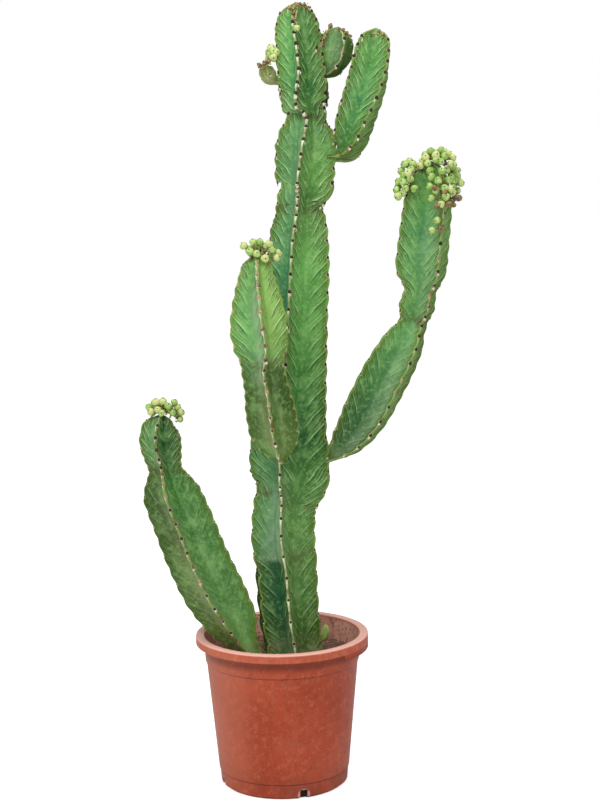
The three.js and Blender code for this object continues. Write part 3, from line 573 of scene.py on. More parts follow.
def settle(piece):
    """Leaves edit mode with the piece's place in its mesh."""
    pick(piece)
    bpy.ops.object.transform_apply(location=True, rotation=True, scale=True)


def face_outwards():
    """All faces of the mesh in edit mode point outwards."""
    bpy.ops.mesh.select_all(action="SELECT")
    bpy.ops.mesh.normals_make_consistent(inside=False)


def grow(by, scale, height):
    """Extrudes the selected face upwards and scales its outline about the axis."""
    bpy.ops.mesh.extrude_region_move(TRANSFORM_OT_translate={"value": (0, 0, by)})
    if abs(scale - 1) > 1e-7:
        bpy.ops.transform.resize(value=(scale, scale, 1), center_override=(0, 0, height))


def around(azimuths, radius):
    """Places round the container's axis."""
    return [(radius * math.sin(math.radians(a)), -radius * math.cos(math.radians(a))) for a in azimuths]


def facing(run):
    """A turn that brings +Z along a vector."""
    return run.to_track_quat("Z", "Y").to_matrix().to_4x4()


def stretched(x, y, z):
    return Matrix.Diagonal((x, y, z, 1))


def planted(title, seed, places, tints=None):
    """One mesh with a copy of a small seed mesh at each place. tints, if
    given, is a number for each copy, kept as the attribute "tint"."""
    mesh = seed.data
    base = np.empty(len(mesh.vertices) * 3)
    mesh.vertices.foreach_get("co", base)
    base = np.column_stack([base.reshape(-1, 3), np.ones(len(mesh.vertices))])
    faces = [tuple(face.vertices) for face in mesh.polygons]
    corners = np.vstack([base @ np.array(place).T[:, :3] for place in places])
    copies = [tuple(v + k * len(base) for v in face) for k in range(len(places)) for face in faces]
    made = bpy.data.meshes.new(title)
    made.from_pydata(corners.tolist(), [], copies)
    made.update()
    if tints is not None:
        tint = made.attributes.new("tint", "FLOAT", "POINT")
        tint.data.foreach_set("value", np.repeat(np.array(tints, np.float32), len(base)))
    bpy.data.objects.remove(seed)
    return placed(title, made)


def smooth(piece, angle=None):
    """Smooth shading, with edges sharper than angle (degrees) left crisp."""
    pick(piece)
    if angle is None:
        bpy.ops.object.shade_smooth()
    else:
        bpy.ops.object.shade_smooth_by_angle(angle=math.radians(angle))


def dressed(piece, make_material, slot, *nodes):
    """Gives a finished piece its material and body, and hides the CAD parts it stands for. Pieces share a
    material.
    """
    title = make_material.__name__
    material = bpy.data.materials.get(title) or make_material(title)
    piece.data.materials.clear()
    piece.data.materials.append(material)
    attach(piece, "root")
    if nodes:
        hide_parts(*nodes)


# ---------------------------------------------------------------- materials


def srgb(*screen):
    """A colour read off a screen (0 to 255), as linear light."""
    def linear(v):
        v /= 255
        return v / 12.92 if v <= 0.04045 else ((v + 0.055) / 1.055) ** 2.4
    return (*map(linear, screen), 1.0)


class Finish:
    """A material's nodes, added one at a time and wired as they are added. Its body is
    the colour so far."""

    def __init__(self, title, **shader):
        self.material = bpy.data.materials.new(title)
        self.material.use_nodes = True
        self.tree = self.material.node_tree
        self.shader = self.tree.nodes["Principled BSDF"]
        self.body = None
        for key, value in shader.items():
            self.shader.inputs[key.replace("_", " ")].default_value = value

    def add(self, kind, inputs=None, **settings):
        made = self.tree.nodes.new("ShaderNode" + kind)
        for key, value in settings.items():
            setattr(made, key, value)
        for key, value in (inputs or {}).items():
            self.join(value, made.inputs[key])
        return made

    def join(self, value, socket):
        if isinstance(value, bpy.types.NodeSocket):
            self.tree.links.new(value, socket)
        else:
            socket.default_value = value

    def sum(self, operation, a, b=0.0, c=0.0):
        return self.add("Math", {0: a, 1: b, 2: c}, operation=operation).outputs[0]

    def times(self, a, b):
        return self.sum("MULTIPLY", a, b)

    def ramp(self, value, low, high, start=0.0, end=1.0):
        """A smooth step of value from low to high."""
        inputs = {"Value": value, "From Min": low, "From Max": high, "To Min": start, "To Max": end}
        return self.add("MapRange", inputs, interpolation_type="SMOOTHSTEP").outputs[0]

    def mix(self, factor, a, b):
        return self.add("Mix", {0: factor, 6: a, 7: b}, data_type="RGBA").outputs[2]

    def place(self):
        return self.add("TexCoord").outputs["Object"]

    def measure(self, name):
        """A number kept on the mesh."""
        return self.add("Attribute", attribute_name=name).outputs["Fac"]

    def split(self, vector):
        return self.add("SeparateXYZ", {0: vector}).outputs

    def measures(self, name):
        """Three numbers kept on the mesh."""
        return self.split(self.add("Attribute", attribute_name=name).outputs["Vector"])

    def grain(self, scale, detail=2.0, roughness=0.5, vector=None):
        inputs = {"Vector": vector or self.place(), "Scale": scale, "Detail": detail,
                  "Roughness": roughness}
        return self.add("TexNoise", inputs).outputs["Fac"]

    def cloud(self, scale, detail, roughness, low, high, start=0.0, end=1.0):
        """Patches of noise, with soft edges from low to high."""
        return self.ramp(self.grain(scale, detail, roughness), low, high, start, end)

    def lay(self, factor, colour):
        """Lays a colour over the body."""
        self.body = self.mix(factor, self.body, colour)

    def finished(self, relief=None, strength=1.0, distance=0.0005):
        """The material, with its body colour and its relief wired up."""
        self.join(self.body, self.shader.inputs["Base Color"])
        if relief is not None:
            bump = self.add("Bump", {"Height": relief, "Strength": strength, "Distance": distance})
            self.join(bump.outputs["Normal"], self.shader.inputs["Normal"])
        return self.material


def waxy_skin(title, young=False):
    """Waxy green skin. Its lines, edges and shading follow the rib measures."""
    look = Finish(title, Roughness=0.42, Specular_IOR_Level=0.25)
    ramp, times, mix, cloud, lay = look.ramp, look.times, look.mix, look.cloud, look.lay
    phase, inward, pitch = look.measures("rib_map")
    across, tone, light = look.measures("rib_place")
    level, wax, cork = look.measures("rib_more")
    lines = look.measure("rib_lines")
    aside, _, height = look.split(look.place())

    def line(shift, width, strength):
        """Bright crest and dark groove of one raised line to each shield: masks for a painted highlight on
        the crest and painted shade in the groove, which also give the relief.
        """
        share = look.sum("FRACT", look.sum("ADD", phase, shift))
        above = times(share, pitch)
        below = times(look.sum("SUBTRACT", 1.0, share), pitch)
        crest = look.sum("MAXIMUM", ramp(above, width * 1.5, 0.2), ramp(below, width * 0.7, 0.1))
        groove = times(ramp(below, width * 0.5, width), ramp(below, width * 4, width * 1.2))
        return times(crest, strength), times(groove, strength), share

    def streaks(roughness, *parts):
        """Noise that is drawn out along the measures with a small scale."""
        drawn = look.add("CombineXYZ", {k: times(*part) for k, part in enumerate(parts)})
        return look.grain(1.0, 3.0, roughness, drawn.outputs[0])

    def by_tone(olive, green, blue):
        return mix(ramp(tone, 0.5, 1.0), mix(ramp(tone, 0.0, 0.5), olive, green), blue)

    reach = times(ramp(across, 0.9, 0.5), ramp(inward, 0.8, 3.0))
    reach = times(times(reach, cloud(34, 1.0, 0.5, 0.32, 0.62, 0.35, 1.0)), lines)
    short = times(ramp(across, 0.7, 0.3), reach)
    # crest and groove masks of the lines, for painted highlight, painted shade and relief
    crest, groove, share = line(0.0, 2.0, reach)
    for shift, width, strength in ((0.5, 1.6, 0.75), (0.27, 1.0, 0.45), (0.76, 1.0, 0.45)):
        small_crest, small_groove, _ = line(shift, width, times(short, strength))
        crest = look.sum("MAXIMUM", crest, small_crest)
        groove = look.sum("MAXIMUM", groove, small_groove)

    # fine streaks run with the lines, and along the stem where the lines hardly show
    streak = streaks(0.65, (phase, 6.0), (inward, 0.03), (aside, 26.0))
    streak_reach = times(ramp(across, 0.97, 0.6, 0.25, 1.0), ramp(lines, 0.0, 1.0, 0.25, 1.0))
    long_streak = streaks(0.6, (across, 4.0), (level, 0.12), (aside, 14.0))
    long_reach = times(ramp(lines, 0.7, 0.1), ramp(inward, 2.0, 9.0))

    if young:
        dark, pale = srgb(128, 138, 62), srgb(222, 226, 158)
        shade, shine = srgb(112, 100, 48), srgb(234, 234, 190)
    else:
        dark = by_tone(srgb(58, 84, 14), srgb(22, 82, 16), srgb(6, 66, 44))
        pale = by_tone(srgb(172, 214, 106), srgb(128, 204, 102), srgb(100, 190, 118))
        shade, shine = srgb(10, 60, 14), srgb(176, 230, 138)
    # the light measure is partly the skin's own lightness and partly painted light and shade
    look.body = mix(light, dark, pale)
    deep, bright = mix(0.5, look.body, shade), mix(0.5, look.body, shine)

    lay(times(ramp(long_streak, 0.5, 0.66, 0.0, 0.6), long_reach), bright)
    lay(times(ramp(long_streak, 0.5, 0.36, 0.0, 0.6), long_reach), deep)

    # painted shade: old smooth skin darkens from the valley towards the edge
    lay(times(ramp(lines, 0.5, 0.15), ramp(across, 0.95, 0.35, 0.0, 0.75)), deep)

    # cloudy patches; blue-green panels deepen in the valley, partly a bluer colour and partly painted shade,
    # the others pale there
    lay(cloud(9, 2.0, 0.5, 0.38, 0.66, 0.0, 0.6), deep)
    lay(cloud(26, 3.0, 0.6, 0.46, 0.66, 0.0, 0.5), bright)
    lay(cloud(21, 3.0, 0.6, 0.48, 0.68, 0.0, 0.5), deep)
    valley = ramp(across, 0.6, 1.0)
    # partly painted shade in the valley's recess
    lay(times(valley, ramp(tone, 0.5, 0.8, 0.0, 0.45)), srgb(24, 100, 72))
    pale_valley = times(valley, cloud(14, 2.0, 0.5, 0.4, 0.6, 0.0, 0.3))
    lay(times(pale_valley, ramp(tone, 0.6, 0.4)), srgb(166, 200, 138))
    # painted light on each swelling, brightest just above its line
    lay(times(ramp(share, 0.7, 0.05, 0.0, 0.45), reach), bright)
    lay(times(ramp(streak, 0.52, 0.7, 0.0, 0.7), streak_reach), bright)
    lay(times(ramp(streak, 0.49, 0.32, 0.0, 0.7), streak_reach), deep)
    mottle = look.grain(150, 3.0, 0.65)
    lay(ramp(mottle, 0.5, 0.68, 0.0, 0.5), bright)
    lay(ramp(mottle, 0.47, 0.32, 0.0, 0.55), deep)

    # olive near the edge, partly its colour and partly painted shade; painted shade under each line, and a
    # painted highlight on its crest
    olive = mix(light, srgb(60, 86, 12), srgb(112, 154, 46))
    lay(times(ramp(inward, 12.0, 2.0), cloud(40, 2.0, 0.5, 0.3, 0.6, 0.3, 0.8)), olive)
    lay(times(groove, 0.45), srgb(14, 74, 16))
    lay(times(crest, 0.95), mix(0.85, look.body, srgb(210, 244, 176)))

    # wax beside the front rib, cork at the old growth stops, splashes of dirt at the foot
    waxy = mix(ramp(tone, 0.05, 0.35), srgb(192, 180, 130), srgb(184, 208, 172))
    lay(times(times(wax, cloud(24, 3.0, 0.6, 0.3, 0.6, 0.45, 1.0)), 0.66), waxy)
    scab = times(cork, cloud(52, 3.0, 0.65, 0.42, 0.58))
    lay(times(scab, 0.6), srgb(84, 78, 34))
    lay(times(ramp(height, 0.272, 0.232), cloud(70, 4.0, 0.65, 0.42, 0.6, 0.0, 0.75)), srgb(160, 156, 124))

    # the thin edge, cream on the left of the front rib (a pale colour with a painted highlight in it), and
    # the swelling round each shield
    up = times(look.sum("SUBTRACT", look.sum("FRACT", look.sum("ADD", level, 0.5)), 0.5), pitch)
    broad = times(inward, 1.9)
    away = look.sum("SQRT", look.sum("MULTIPLY_ADD", up, up, times(broad, broad)))
    patch = look.grain(75, 2.0)
    edge = mix(ramp(patch, 0.56, 0.66), srgb(150, 176, 96), srgb(136, 92, 50))
    lay(ramp(inward, 1.3, 0.4, 0.0, 0.5), edge)
    below_shield = times(ramp(up, 3.0, -2.5), ramp(up, -11.0, -6.0, 0.45, 1.0))
    # cream edge: a pale colour with a painted highlight, on the left of the front rib
    cream = times(ramp(wax, -0.1, -0.7), ramp(patch, 0.66, 0.5, 0.3, 1.0))
    lay(times(cream, ramp(below_shield, 0.0, 1.0, 0.4, 1.0)), srgb(228, 234, 198))
    lay(times(ramp(away, 4.2, 2.4), ramp(patch, 0.35, 0.6, 0.0, 0.35)), srgb(186, 192, 130))
    lay(cloud(330, 1.0, 0.5, 0.72, 0.78, 0.0, 0.5), srgb(206, 214, 164))

    look.join(ramp(mottle, 0.3, 0.7, 0.36, 0.52), look.shader.inputs["Roughness"])
    relief = look.sum("MULTIPLY_ADD", groove, -0.7, crest)
    for part, share in ((times(streak, streak_reach), 1.1), (mottle, 0.35), (scab, 0.6)):
        relief = look.sum("MULTIPLY_ADD", part, share, relief)
    return look.finished(relief, 1.0, 0.0012)


def young_waxy_skin(title):
    """Skin of the small shoots, yellower and paler."""
    return waxy_skin(title, young=True)


def horn(title):
    """Dark, rough horn of a spine shield, or pinkish brown cork where it has worn."""
    look = Finish(title, Roughness=0.6)
    fleck = look.grain(700, 2.0)
    worn = look.mix(look.ramp(fleck, 0.35, 0.6), srgb(132, 84, 62), srgb(222, 178, 148))
    worn_share = look.sum("MULTIPLY_ADD", look.grain(180, 1.0), 0.8, look.measure("tint"))
    look.body = look.mix(look.ramp(fleck, 0.45, 0.7), srgb(22, 12, 12), srgb(84, 50, 38))
    look.lay(look.ramp(worn_share, 0.75, 1.1), worn)
    return look.finished(fleck, 0.6, 0.0006)


def scar(title):
    """Pinkish cream scar below a shield."""
    look = Finish(title, Roughness=0.65)
    fleck = look.grain(500, 2.0)
    look.body = look.mix(look.cloud(24, 1.0, 0.5, 0.4, 0.6), srgb(234, 204, 180), srgb(238, 236, 208))
    look.lay(look.ramp(fleck, 0.5, 0.75), srgb(156, 100, 78))
    return look.finished(fleck, 0.5)


def capsule_skin(title):
    """Capsules, pale green with yellower patches and a few brown ones."""
    look = Finish(title, Roughness=0.45)
    tint = look.measure("tint")
    look.body = look.mix(look.cloud(120, 2.0, 0.5, 0.35, 0.65), srgb(142, 186, 84), srgb(196, 220, 134))
    look.lay(look.ramp(tint, 0.5, 0.8, 0.0, 0.8), srgb(216, 220, 148))
    ripe = look.mix(look.cloud(260, 2.0, 0.5, 0.4, 0.6), srgb(172, 146, 92), srgb(116, 84, 58))
    look.lay(look.ramp(tint, 0.94, 0.97), ripe)
    return look.finished(look.grain(500, 2.0), 0.25)


def stalk_skin(title):
    """Yellow-green stalks with brown remains of flowers."""
    look = Finish(title, Roughness=0.6)
    dry = look.mix(look.cloud(300, 2.0, 0.5, 0.4, 0.62), srgb(160, 120, 82), srgb(74, 48, 36))
    look.body = look.mix(look.cloud(200, 2.0, 0.5, 0.4, 0.6), srgb(166, 178, 100), srgb(186, 172, 116))
    look.lay(look.ramp(look.measure("tint"), 0.4, 0.6), dry)
    return look.finished(look.grain(600, 2.0), 0.4)


def dry_tip(title):
    """Dried style on a capsule."""
    look = Finish(title, Roughness=0.6)
    look.body = look.mix(look.grain(900, 1.0), srgb(24, 16, 14), srgb(70, 44, 34))
    return look.finished()


def moulded_plastic(title):
    """Moulded terracotta-coloured plastic with speckles, dust and paler rubbed rings at the drain notches,
    painted light down its left side and on the rim's top, and painted shade in its grooves and under the
    rim.
    """
    look = Finish(title, Roughness=0.5, Specular_IOR_Level=0.3)
    ramp, times, cloud, lay = look.ramp, look.times, look.cloud, look.lay
    aside, _, height = look.split(look.place())
    look.body = look.mix(cloud(9, 3.0, 0.5, 0.35, 0.7), srgb(166, 62, 30), srgb(182, 76, 44))
    for patch, colour in (
        ((420, 2.0, 0.7, 0.6, 0.72, 0.0, 0.4), (222, 140, 108)),
        ((300, 3.0, 0.7, 0.62, 0.74, 0.0, 0.45), (104, 36, 20)),
        ((80, 5.0, 0.75, 0.48, 0.66, 0.0, 0.5), (198, 104, 74)),
        ((62, 5.0, 0.75, 0.5, 0.68, 0.0, 0.45), (132, 50, 28)),
    ):
        lay(cloud(*patch), srgb(*colour))
    # painted light: the left side paler, where the light falls
    lay(ramp(aside, -0.03, -0.115, 0.0, 0.5), srgb(206, 118, 88))
    dust = times(cloud(16, 5.0, 0.7, 0.52, 0.72, 0.0, 0.4), ramp(aside, -0.06, 0.1, 0.3, 1.0))
    lay(dust, srgb(160, 104, 84))
    low = times(ramp(height, 0.06, 0.015), cloud(26, 3.0, 0.5, 0.35, 0.65))
    lay(times(low, 0.45), srgb(124, 62, 44))

    # rubbed rings at the drain notches, painted shade in the grooves at the collar and plinth and at and
    # under the rim's band
    for x, y in around(DRAIN_AZIMUTHS, DRAIN_RADIUS + 0.003):
        notch = {0: look.place(), 1: (x, y, DRAIN_LEVEL)}
        off = look.add("VectorMath", notch, operation="DISTANCE").outputs["Value"]
        lay(ramp(off, 0.0125, 0.0095, 0.0, 0.8), srgb(226, 164, 140))
    # painted shade: dark lines at the collar, the plinth and at and under the rim's band
    for level, width, strength in ((0.2195, 0.0016, 0.75), (0.0272, 0.0018, 0.85), (0.2400, 0.0130, 0.5)):
        off = look.sum("ABSOLUTE", look.sum("SUBTRACT", height, level))
        lay(ramp(off, width, 0.0, 0.0, strength), srgb(84, 30, 16))
    band = ramp(height, POT_TOP - 0.0150, POT_TOP - 0.0135, 0.0, 0.3)
    lay(band, srgb(216, 116, 88))
    lay(times(band, cloud(90, 4.0, 0.6, 0.45, 0.7)), srgb(222, 144, 124))
    # painted highlight: the rim's top turns pale pink
    lay(ramp(height, POT_TOP - 0.0030, POT_TOP - 0.0005), srgb(255, 194, 178))

    # dusty wall inside, above the compost
    inside = look.measures("inside")[2]
    lay(times(inside, cloud(30, 4.0, 0.65, 0.35, 0.6, 0.55, 0.95)), srgb(240, 182, 164))
    lay(times(inside, cloud(150, 3.0, 0.6, 0.56, 0.64, 0.0, 0.7)), srgb(116, 72, 54))
    look.join(ramp(dust, 0.0, 0.4, 0.42, 0.7), look.shader.inputs["Roughness"])
    return look.finished(look.grain(900, 3.0, 0.6), 0.25, 0.0006)


def dry_compost(title):
    """Dry gritty compost."""
    look = Finish(title, Roughness=0.95)
    fine = look.grain(420, 4.0, 0.7)
    look.body = look.mix(look.cloud(30, 3.0, 0.5, 0.35, 0.65), srgb(124, 88, 72), srgb(166, 126, 104))
    look.lay(look.ramp(fine, 0.46, 0.64), srgb(76, 54, 44))
    look.lay(look.cloud(260, 3.0, 0.7, 0.6, 0.68), srgb(196, 174, 154))
    # painted shade: near black low down, where the compost shows through the drain notches
    look.lay(look.ramp(look.split(look.place())[2], 0.06, 0.03), srgb(26, 20, 16))
    return look.finished(fine, 0.9, 0.002)


def grit(title):
    """Grains of compost, from dark bark to pale stone."""
    look = Finish(title, Roughness=0.9)
    tint = look.measure("tint")
    look.body = look.mix(look.ramp(tint, 0.0, 0.6), srgb(82, 60, 48), srgb(160, 124, 104))
    look.lay(look.ramp(tint, 0.7, 0.95), srgb(222, 206, 188))
    look.lay(look.cloud(600, 3.0, 0.5, 0.4, 0.7, 0.0, 0.6), srgb(84, 62, 50))
    return look.finished(look.grain(700, 3.0), 0.6, 0.001)


def floor_paint(title):
    """Plain pale floor, bright all over as in a light tent."""
    look = Finish(title, Roughness=0.8, Emission_Color=(1, 1, 1, 1))
    look.body = look.mix(look.grain(3, 2.0), srgb(240, 240, 240), srgb(246, 246, 246))
    seen = look.add("LightPath").outputs["Is Camera Ray"]
    look.join(look.times(seen, 0.7), look.shader.inputs["Emission Strength"])
    return look.finished()


# ------------------------------------------------------------------ settings


class ContainerSettings(bpy.types.PropertyGroup):
    """Sizes of the container."""

    rim_radius: bpy.props.FloatProperty(
        name="Rim radius", description="Radius over the rim's outer band",
        default=0.150, unit="LENGTH")
    height: bpy.props.FloatProperty(
        name="Height", description="Height of the rim's top face",
        default=POT_TOP, unit="LENGTH")
    lip_drop: bpy.props.FloatProperty(
        name="Lip drop", description="How far the rim's band hangs",
        default=0.0145, unit="LENGTH")
    deep_lip_drop: bpy.props.FloatProperty(
        name="Deep lip drop", description="How far the band's two deeper sections hang",
        default=0.025, unit="LENGTH")
    drain_width: bpy.props.FloatProperty(
        name="Drain width", description="Width of each drain notch in the base corner",
        default=0.0135, unit="LENGTH")


class SoilSettings(bpy.types.PropertyGroup):
    """Sizes of the compost."""

    height: bpy.props.FloatProperty(
        name="Height", description="Height of the compost's surface",
        default=0.226, unit="LENGTH")
    grains: bpy.props.IntProperty(
        name="Grains", description="Number of loose grains on the surface", default=900)


class StemSettings(bpy.types.PropertyGroup):
    """Sizes of the spine shields."""

    shield_width: bpy.props.FloatProperty(
        name="Shield width", description="Width of a spine shield",
        default=0.0062, unit="LENGTH")
    shield_length: bpy.props.FloatProperty(
        name="Shield length", description="Length of a spine shield along its rib",
        default=0.0082, unit="LENGTH")
    spine_length: bpy.props.FloatProperty(
        name="Spine length", description="Length of the paired spines",
        default=0.0032, unit="LENGTH")


class CapsuleSettings(bpy.types.PropertyGroup):
    """Sizes of the seed capsules."""

    radius: bpy.props.FloatProperty(
        name="Capsule radius", description="Radius of a seed capsule",
        default=0.0066, unit="LENGTH")
    stalk_radius: bpy.props.FloatProperty(
        name="Stalk radius", description="Radius of a capsule's stalk",
        default=0.0013, unit="LENGTH")


class StageSettings(bpy.types.PropertyGroup):
    """Camera and light."""

    distance: bpy.props.FloatProperty(
        name="Camera distance", description="Distance of the camera in front of the container's axis",
        default=3.2, unit="LENGTH")
    camera_height: bpy.props.FloatProperty(
        name="Camera height", description="Height of the camera", default=1.15, unit="LENGTH")
    key_power: bpy.props.FloatProperty(
        name="Key light", description="Power of the large soft light", default=41.0, unit="POWER")
    sky: bpy.props.FloatProperty(
        name="Sky", description="How strongly the surroundings light the plant", default=0.38)


SETTINGS = {
    "container": ContainerSettings,
    "soil": SoilSettings,
    "stem": StemSettings,
    "capsule": CapsuleSettings,
    "stage": StageSettings,
}


def settings(name):
    """One group of settings, from the scene."""
    return getattr(bpy.context.scene, "euphorbia_" + name)


# ----------------------------------------------------------------- operators


class MakeContainer(bpy.types.Operator):
    """Container: tapered wall, collar, rolled rim with a hanging band, drain notches"""

    bl_idname = "euphorbia.make_container"
    bl_label = "Container"

    DEEP_SECTIONS = ((45, 95), (225, 265))  # azimuths where the band hangs lower
    STEP = 0.35  # half of the step at each end of a deep section, degrees
    COLUMNS = 144
    BAND = 0.0026  # thickness of the hanging band
    BAND_INSIDE = 0.1465  # corners beyond this radius are the band's
    DRAIN_CUT = (0.017, 0.019)  # a notch's cutter, outwards and upwards
    DRAIN_ROUNDING = 0.0015

    def outline(self, sizes):
        """Radius and height of each ring, from the base over the rim to the floor inside."""
        top, rim = sizes.height, sizes.rim_radius
        low, back = top - sizes.lip_drop, rim - self.BAND
        under = top - self.BAND
        rows = [(0.1030, 0.0), (0.1048, 0.0004), (0.1062, 0.0022)]
        rows += [(outer_wall(z) + proud, z) for z, proud in (
            (0.005, -0.001), (0.0262, -0.0011), (0.0272, -0.0009), (0.0286, -0.0002),  # plinth
            (0.0300, 0), (0.08, 0), (0.13, 0), (0.18, 0), (0.2175, 0),
            (0.2190, 0.0003), (0.2205, 0.0014), (0.2222, 0.0018))]  # collar
        rows += [(0.1368, under - 0.0012), (0.1380, under - 0.0002), (back - 0.0014, under),
                 (back - 0.0002, under - 0.0012), (back, low + 0.0006), (back + 0.0006, low),
                 (rim - 0.0006, low), (rim, low + 0.0006), (rim, top - 0.0020),
                 (rim - 0.0006, top - 0.0007), (rim - 0.0020, top)]
        rows += [(0.1372, top), (0.1358, top - 0.0006), (0.1349, top - 0.0022)]
        rows += [(inner_wall(z), z) for z in (top - 0.006, 0.2, 0.12, POT_FLOOR + 0.004)]
        return rows + [(inner_wall(POT_FLOOR) - 0.002, POT_FLOOR + 0.001), (0.1020, POT_FLOOR)]

    def lower_sections(self, pot, sizes):
        """Draws the band's lower edge down over the deep sections."""
        for azimuth in sum(self.DEEP_SECTIONS, ()):
            for aside in (-self.STEP, self.STEP):
                a = math.radians(azimuth + aside)
                bpy.ops.mesh.select_all(action="SELECT")
                bpy.ops.mesh.bisect(plane_co=(0, 0, 0), plane_no=(math.cos(a), math.sin(a), 0))
        bpy.ops.mesh.select_mode(type="VERT")
        bpy.ops.mesh.select_all(action="DESELECT")
        bpy.ops.object.mode_set(mode="OBJECT")
        low = sizes.height - sizes.lip_drop
        for v in pot.data.vertices:
            turn = math.degrees(math.atan2(v.co.x, -v.co.y)) % 360
            inside = any(start + self.STEP / 2 < turn < end - self.STEP / 2
                         for start, end in self.DEEP_SECTIONS)
            on_edge = low - 0.0001 < v.co.z < low + 0.0007
            v.select = inside and on_edge and math.hypot(v.co.x, v.co.y) > self.BAND_INSIDE
        bpy.ops.object.mode_set(mode="EDIT")
        bpy.ops.transform.translate(value=(0, 0, sizes.lip_drop - sizes.deep_lip_drop))

    def cut_drain(self, pot, sizes, azimuth):
        """Cuts one drain notch through the base corner, with rounded edges."""
        clear_selection()
        bpy.ops.mesh.primitive_cube_add(
            size=1, location=(*around([azimuth], DRAIN_RADIUS)[0], DRAIN_LEVEL),
            rotation=(0, 0, math.radians(azimuth)), scale=(sizes.drain_width, *self.DRAIN_CUT))
        cutter = named("drain_cutter")
        bpy.ops.object.mode_set(mode="EDIT")
        bpy.ops.mesh.select_all(action="SELECT")
        bpy.ops.mesh.bevel(offset=self.DRAIN_ROUNDING, segments=3)
        settle(cutter)
        pick(pot)
        cut = pot.modifiers.new("drain", "BOOLEAN")
        cut.operation = "DIFFERENCE"
        cut.solver = "EXACT"
        cut.object = cutter
        bpy.ops.object.modifier_apply(modifier=cut.name)
        bpy.data.objects.remove(cutter)

    def execute(self, context):
        sizes = settings("container")
        clear_selection()
        rows = self.outline(sizes)
        bpy.ops.mesh.primitive_circle_add(
            vertices=self.COLUMNS, radius=rows[0][0], fill_type="NGON", location=(0, 0, rows[0][1]),
            enter_editmode=True)
        pot = named("container")
        for (r0, z0), (r1, z1) in zip(rows, rows[1:]):
            grow(z1 - z0, r1 / r0, z1)
        face_outwards()
        self.lower_sections(pot, sizes)
        settle(pot)
        for azimuth in DRAIN_AZIMUTHS:
            self.cut_drain(pot, sizes, azimuth)
        smooth(pot, 32)
        inside = pot.data.attributes.new("inside", "FLOAT_VECTOR", "POINT")
        for v, mark in zip(pot.data.vertices, inside.data):
            within = math.hypot(v.co.x, v.co.y) < inner_wall(v.co.z) + 0.0012
            mark.vector = (0, 0, within and 0.01 < v.co.z < sizes.height - 0.004)
        dressed(pot, moulded_plastic, "pot_plastic", "pot")
        return {"FINISHED"}


class MakeCompost(bpy.types.Operator):
    """Compost: a bumpy gritty surface with loose grains on it"""

    bl_idname = "euphorbia.make_compost"
    bl_label = "Compost"

    RINGS = 26
    FOOT = (0.1072, 0.0039)  # radius and height of its underside
    GAP = 0.0007  # to the container's wall
    BUMPS = ((3.2, 34), (1.6, 9), (0.9, 3.5))  # height and width of the bumps, millimetres
    RISE = 0.0008  # of the surface between the bumps
    FADE = 0.006  # over which the bumps die out towards the wall
    GRAIN_SIZES = (0.0007, 0.0022, 2.5)  # least, spread, and how rare the large ones are
    CHUNKS = 26
    CHUNK_AREA = ((-0.115, -0.075), (-0.06, -0.02))
    CHUNK_SIZES = (0.002, 0.005)

    def bumps(self, spot, kinds):
        """How high the surface stands at a place, in metres."""
        return sum(high * noise.noise(spot * 1000 / wide) for high, wide in kinds) * MM + self.RISE

    def execute(self, context):
        sizes = settings("soil")
        top = sizes.height
        radius, foot = self.FOOT
        edge = inner_wall(top - 0.002) - self.GAP
        clear_selection()
        bpy.ops.mesh.primitive_circle_add(
            vertices=120, radius=radius, fill_type="NGON", location=(0, 0, foot), enter_editmode=True)
        soil = named("compost")
        grow(top - foot, edge / radius, top)
        for _ in range(self.RINGS):
            bpy.ops.mesh.inset(thickness=edge / (self.RINGS + 1.2))
        bpy.ops.mesh.poke()
        face_outwards()
        settle(soil)
        for v in soil.data.vertices:
            if v.co.z > top - 0.001:
                inside = min(1.0, (edge - math.hypot(v.co.x, v.co.y)) / self.FADE)
                v.co.z += self.bumps(v.co, self.BUMPS) * max(0.0, inside)
        smooth(soil)
        dressed(soil, dry_compost, "compost", "soil")
        self.scatter(sizes, edge)
        return {"FINISHED"}

    def scatter(self, sizes, edge):
        """Loose grains, and a few larger pale chunks at the front left."""
        draw = random.Random(52)
        bpy.ops.mesh.primitive_ico_sphere_add(subdivisions=1, radius=1)
        seed = named("grain_seed")
        for v in seed.data.vertices:
            v.co *= 0.75 + 0.5 * draw.random()
        places, tints = [], []

        def drop(x, y, size, tint):
            turn = Matrix.Rotation(
                draw.uniform(0, 6.28), 4, Vector((draw.random(), draw.random(), 1)).normalized())
            spot = Vector((x, y, sizes.height))
            spot.z += self.bumps(spot, self.BUMPS[:2]) + size * 0.2
            shape = stretched(size, size * draw.uniform(0.6, 1), size * draw.uniform(0.45, 0.8))
            places.append(Matrix.Translation(spot) @ turn @ shape)
            tints.append(tint)

        least, spread, rare = self.GRAIN_SIZES
        for _ in range(sizes.grains):
            r, a = edge * 0.97 * math.sqrt(draw.random()), draw.uniform(0, 2 * math.pi)
            drop(r * math.cos(a), r * math.sin(a), least + spread * draw.random() ** rare, draw.random())
        across, deep = self.CHUNK_AREA
        for _ in range(self.CHUNKS):
            drop(draw.uniform(*across), draw.uniform(*deep), draw.uniform(*self.CHUNK_SIZES),
                 draw.uniform(0.6, 1.0))
        dressed(planted("grains", seed, places, tints), grit, "compost")


class MakeStem(bpy.types.Operator):
    """One stem with its scalloped ribs"""

    bl_idname = "euphorbia.make_stem"
    bl_label = "Stem"

    stem: bpy.props.StringProperty(name="Stem", description="Which stem is made", default="trunk")

    def execute(self, context):
        piece = placed(self.stem + "_stem", stem_mesh(self.stem))
        smooth(piece, 50)
        if self.stem in ("lobe_left", "sprout"):
            dressed(piece, young_waxy_skin, "young_skin", self.stem)
        else:
            dressed(piece, waxy_skin, "stem_skin", self.stem)
        return {"FINISHED"}


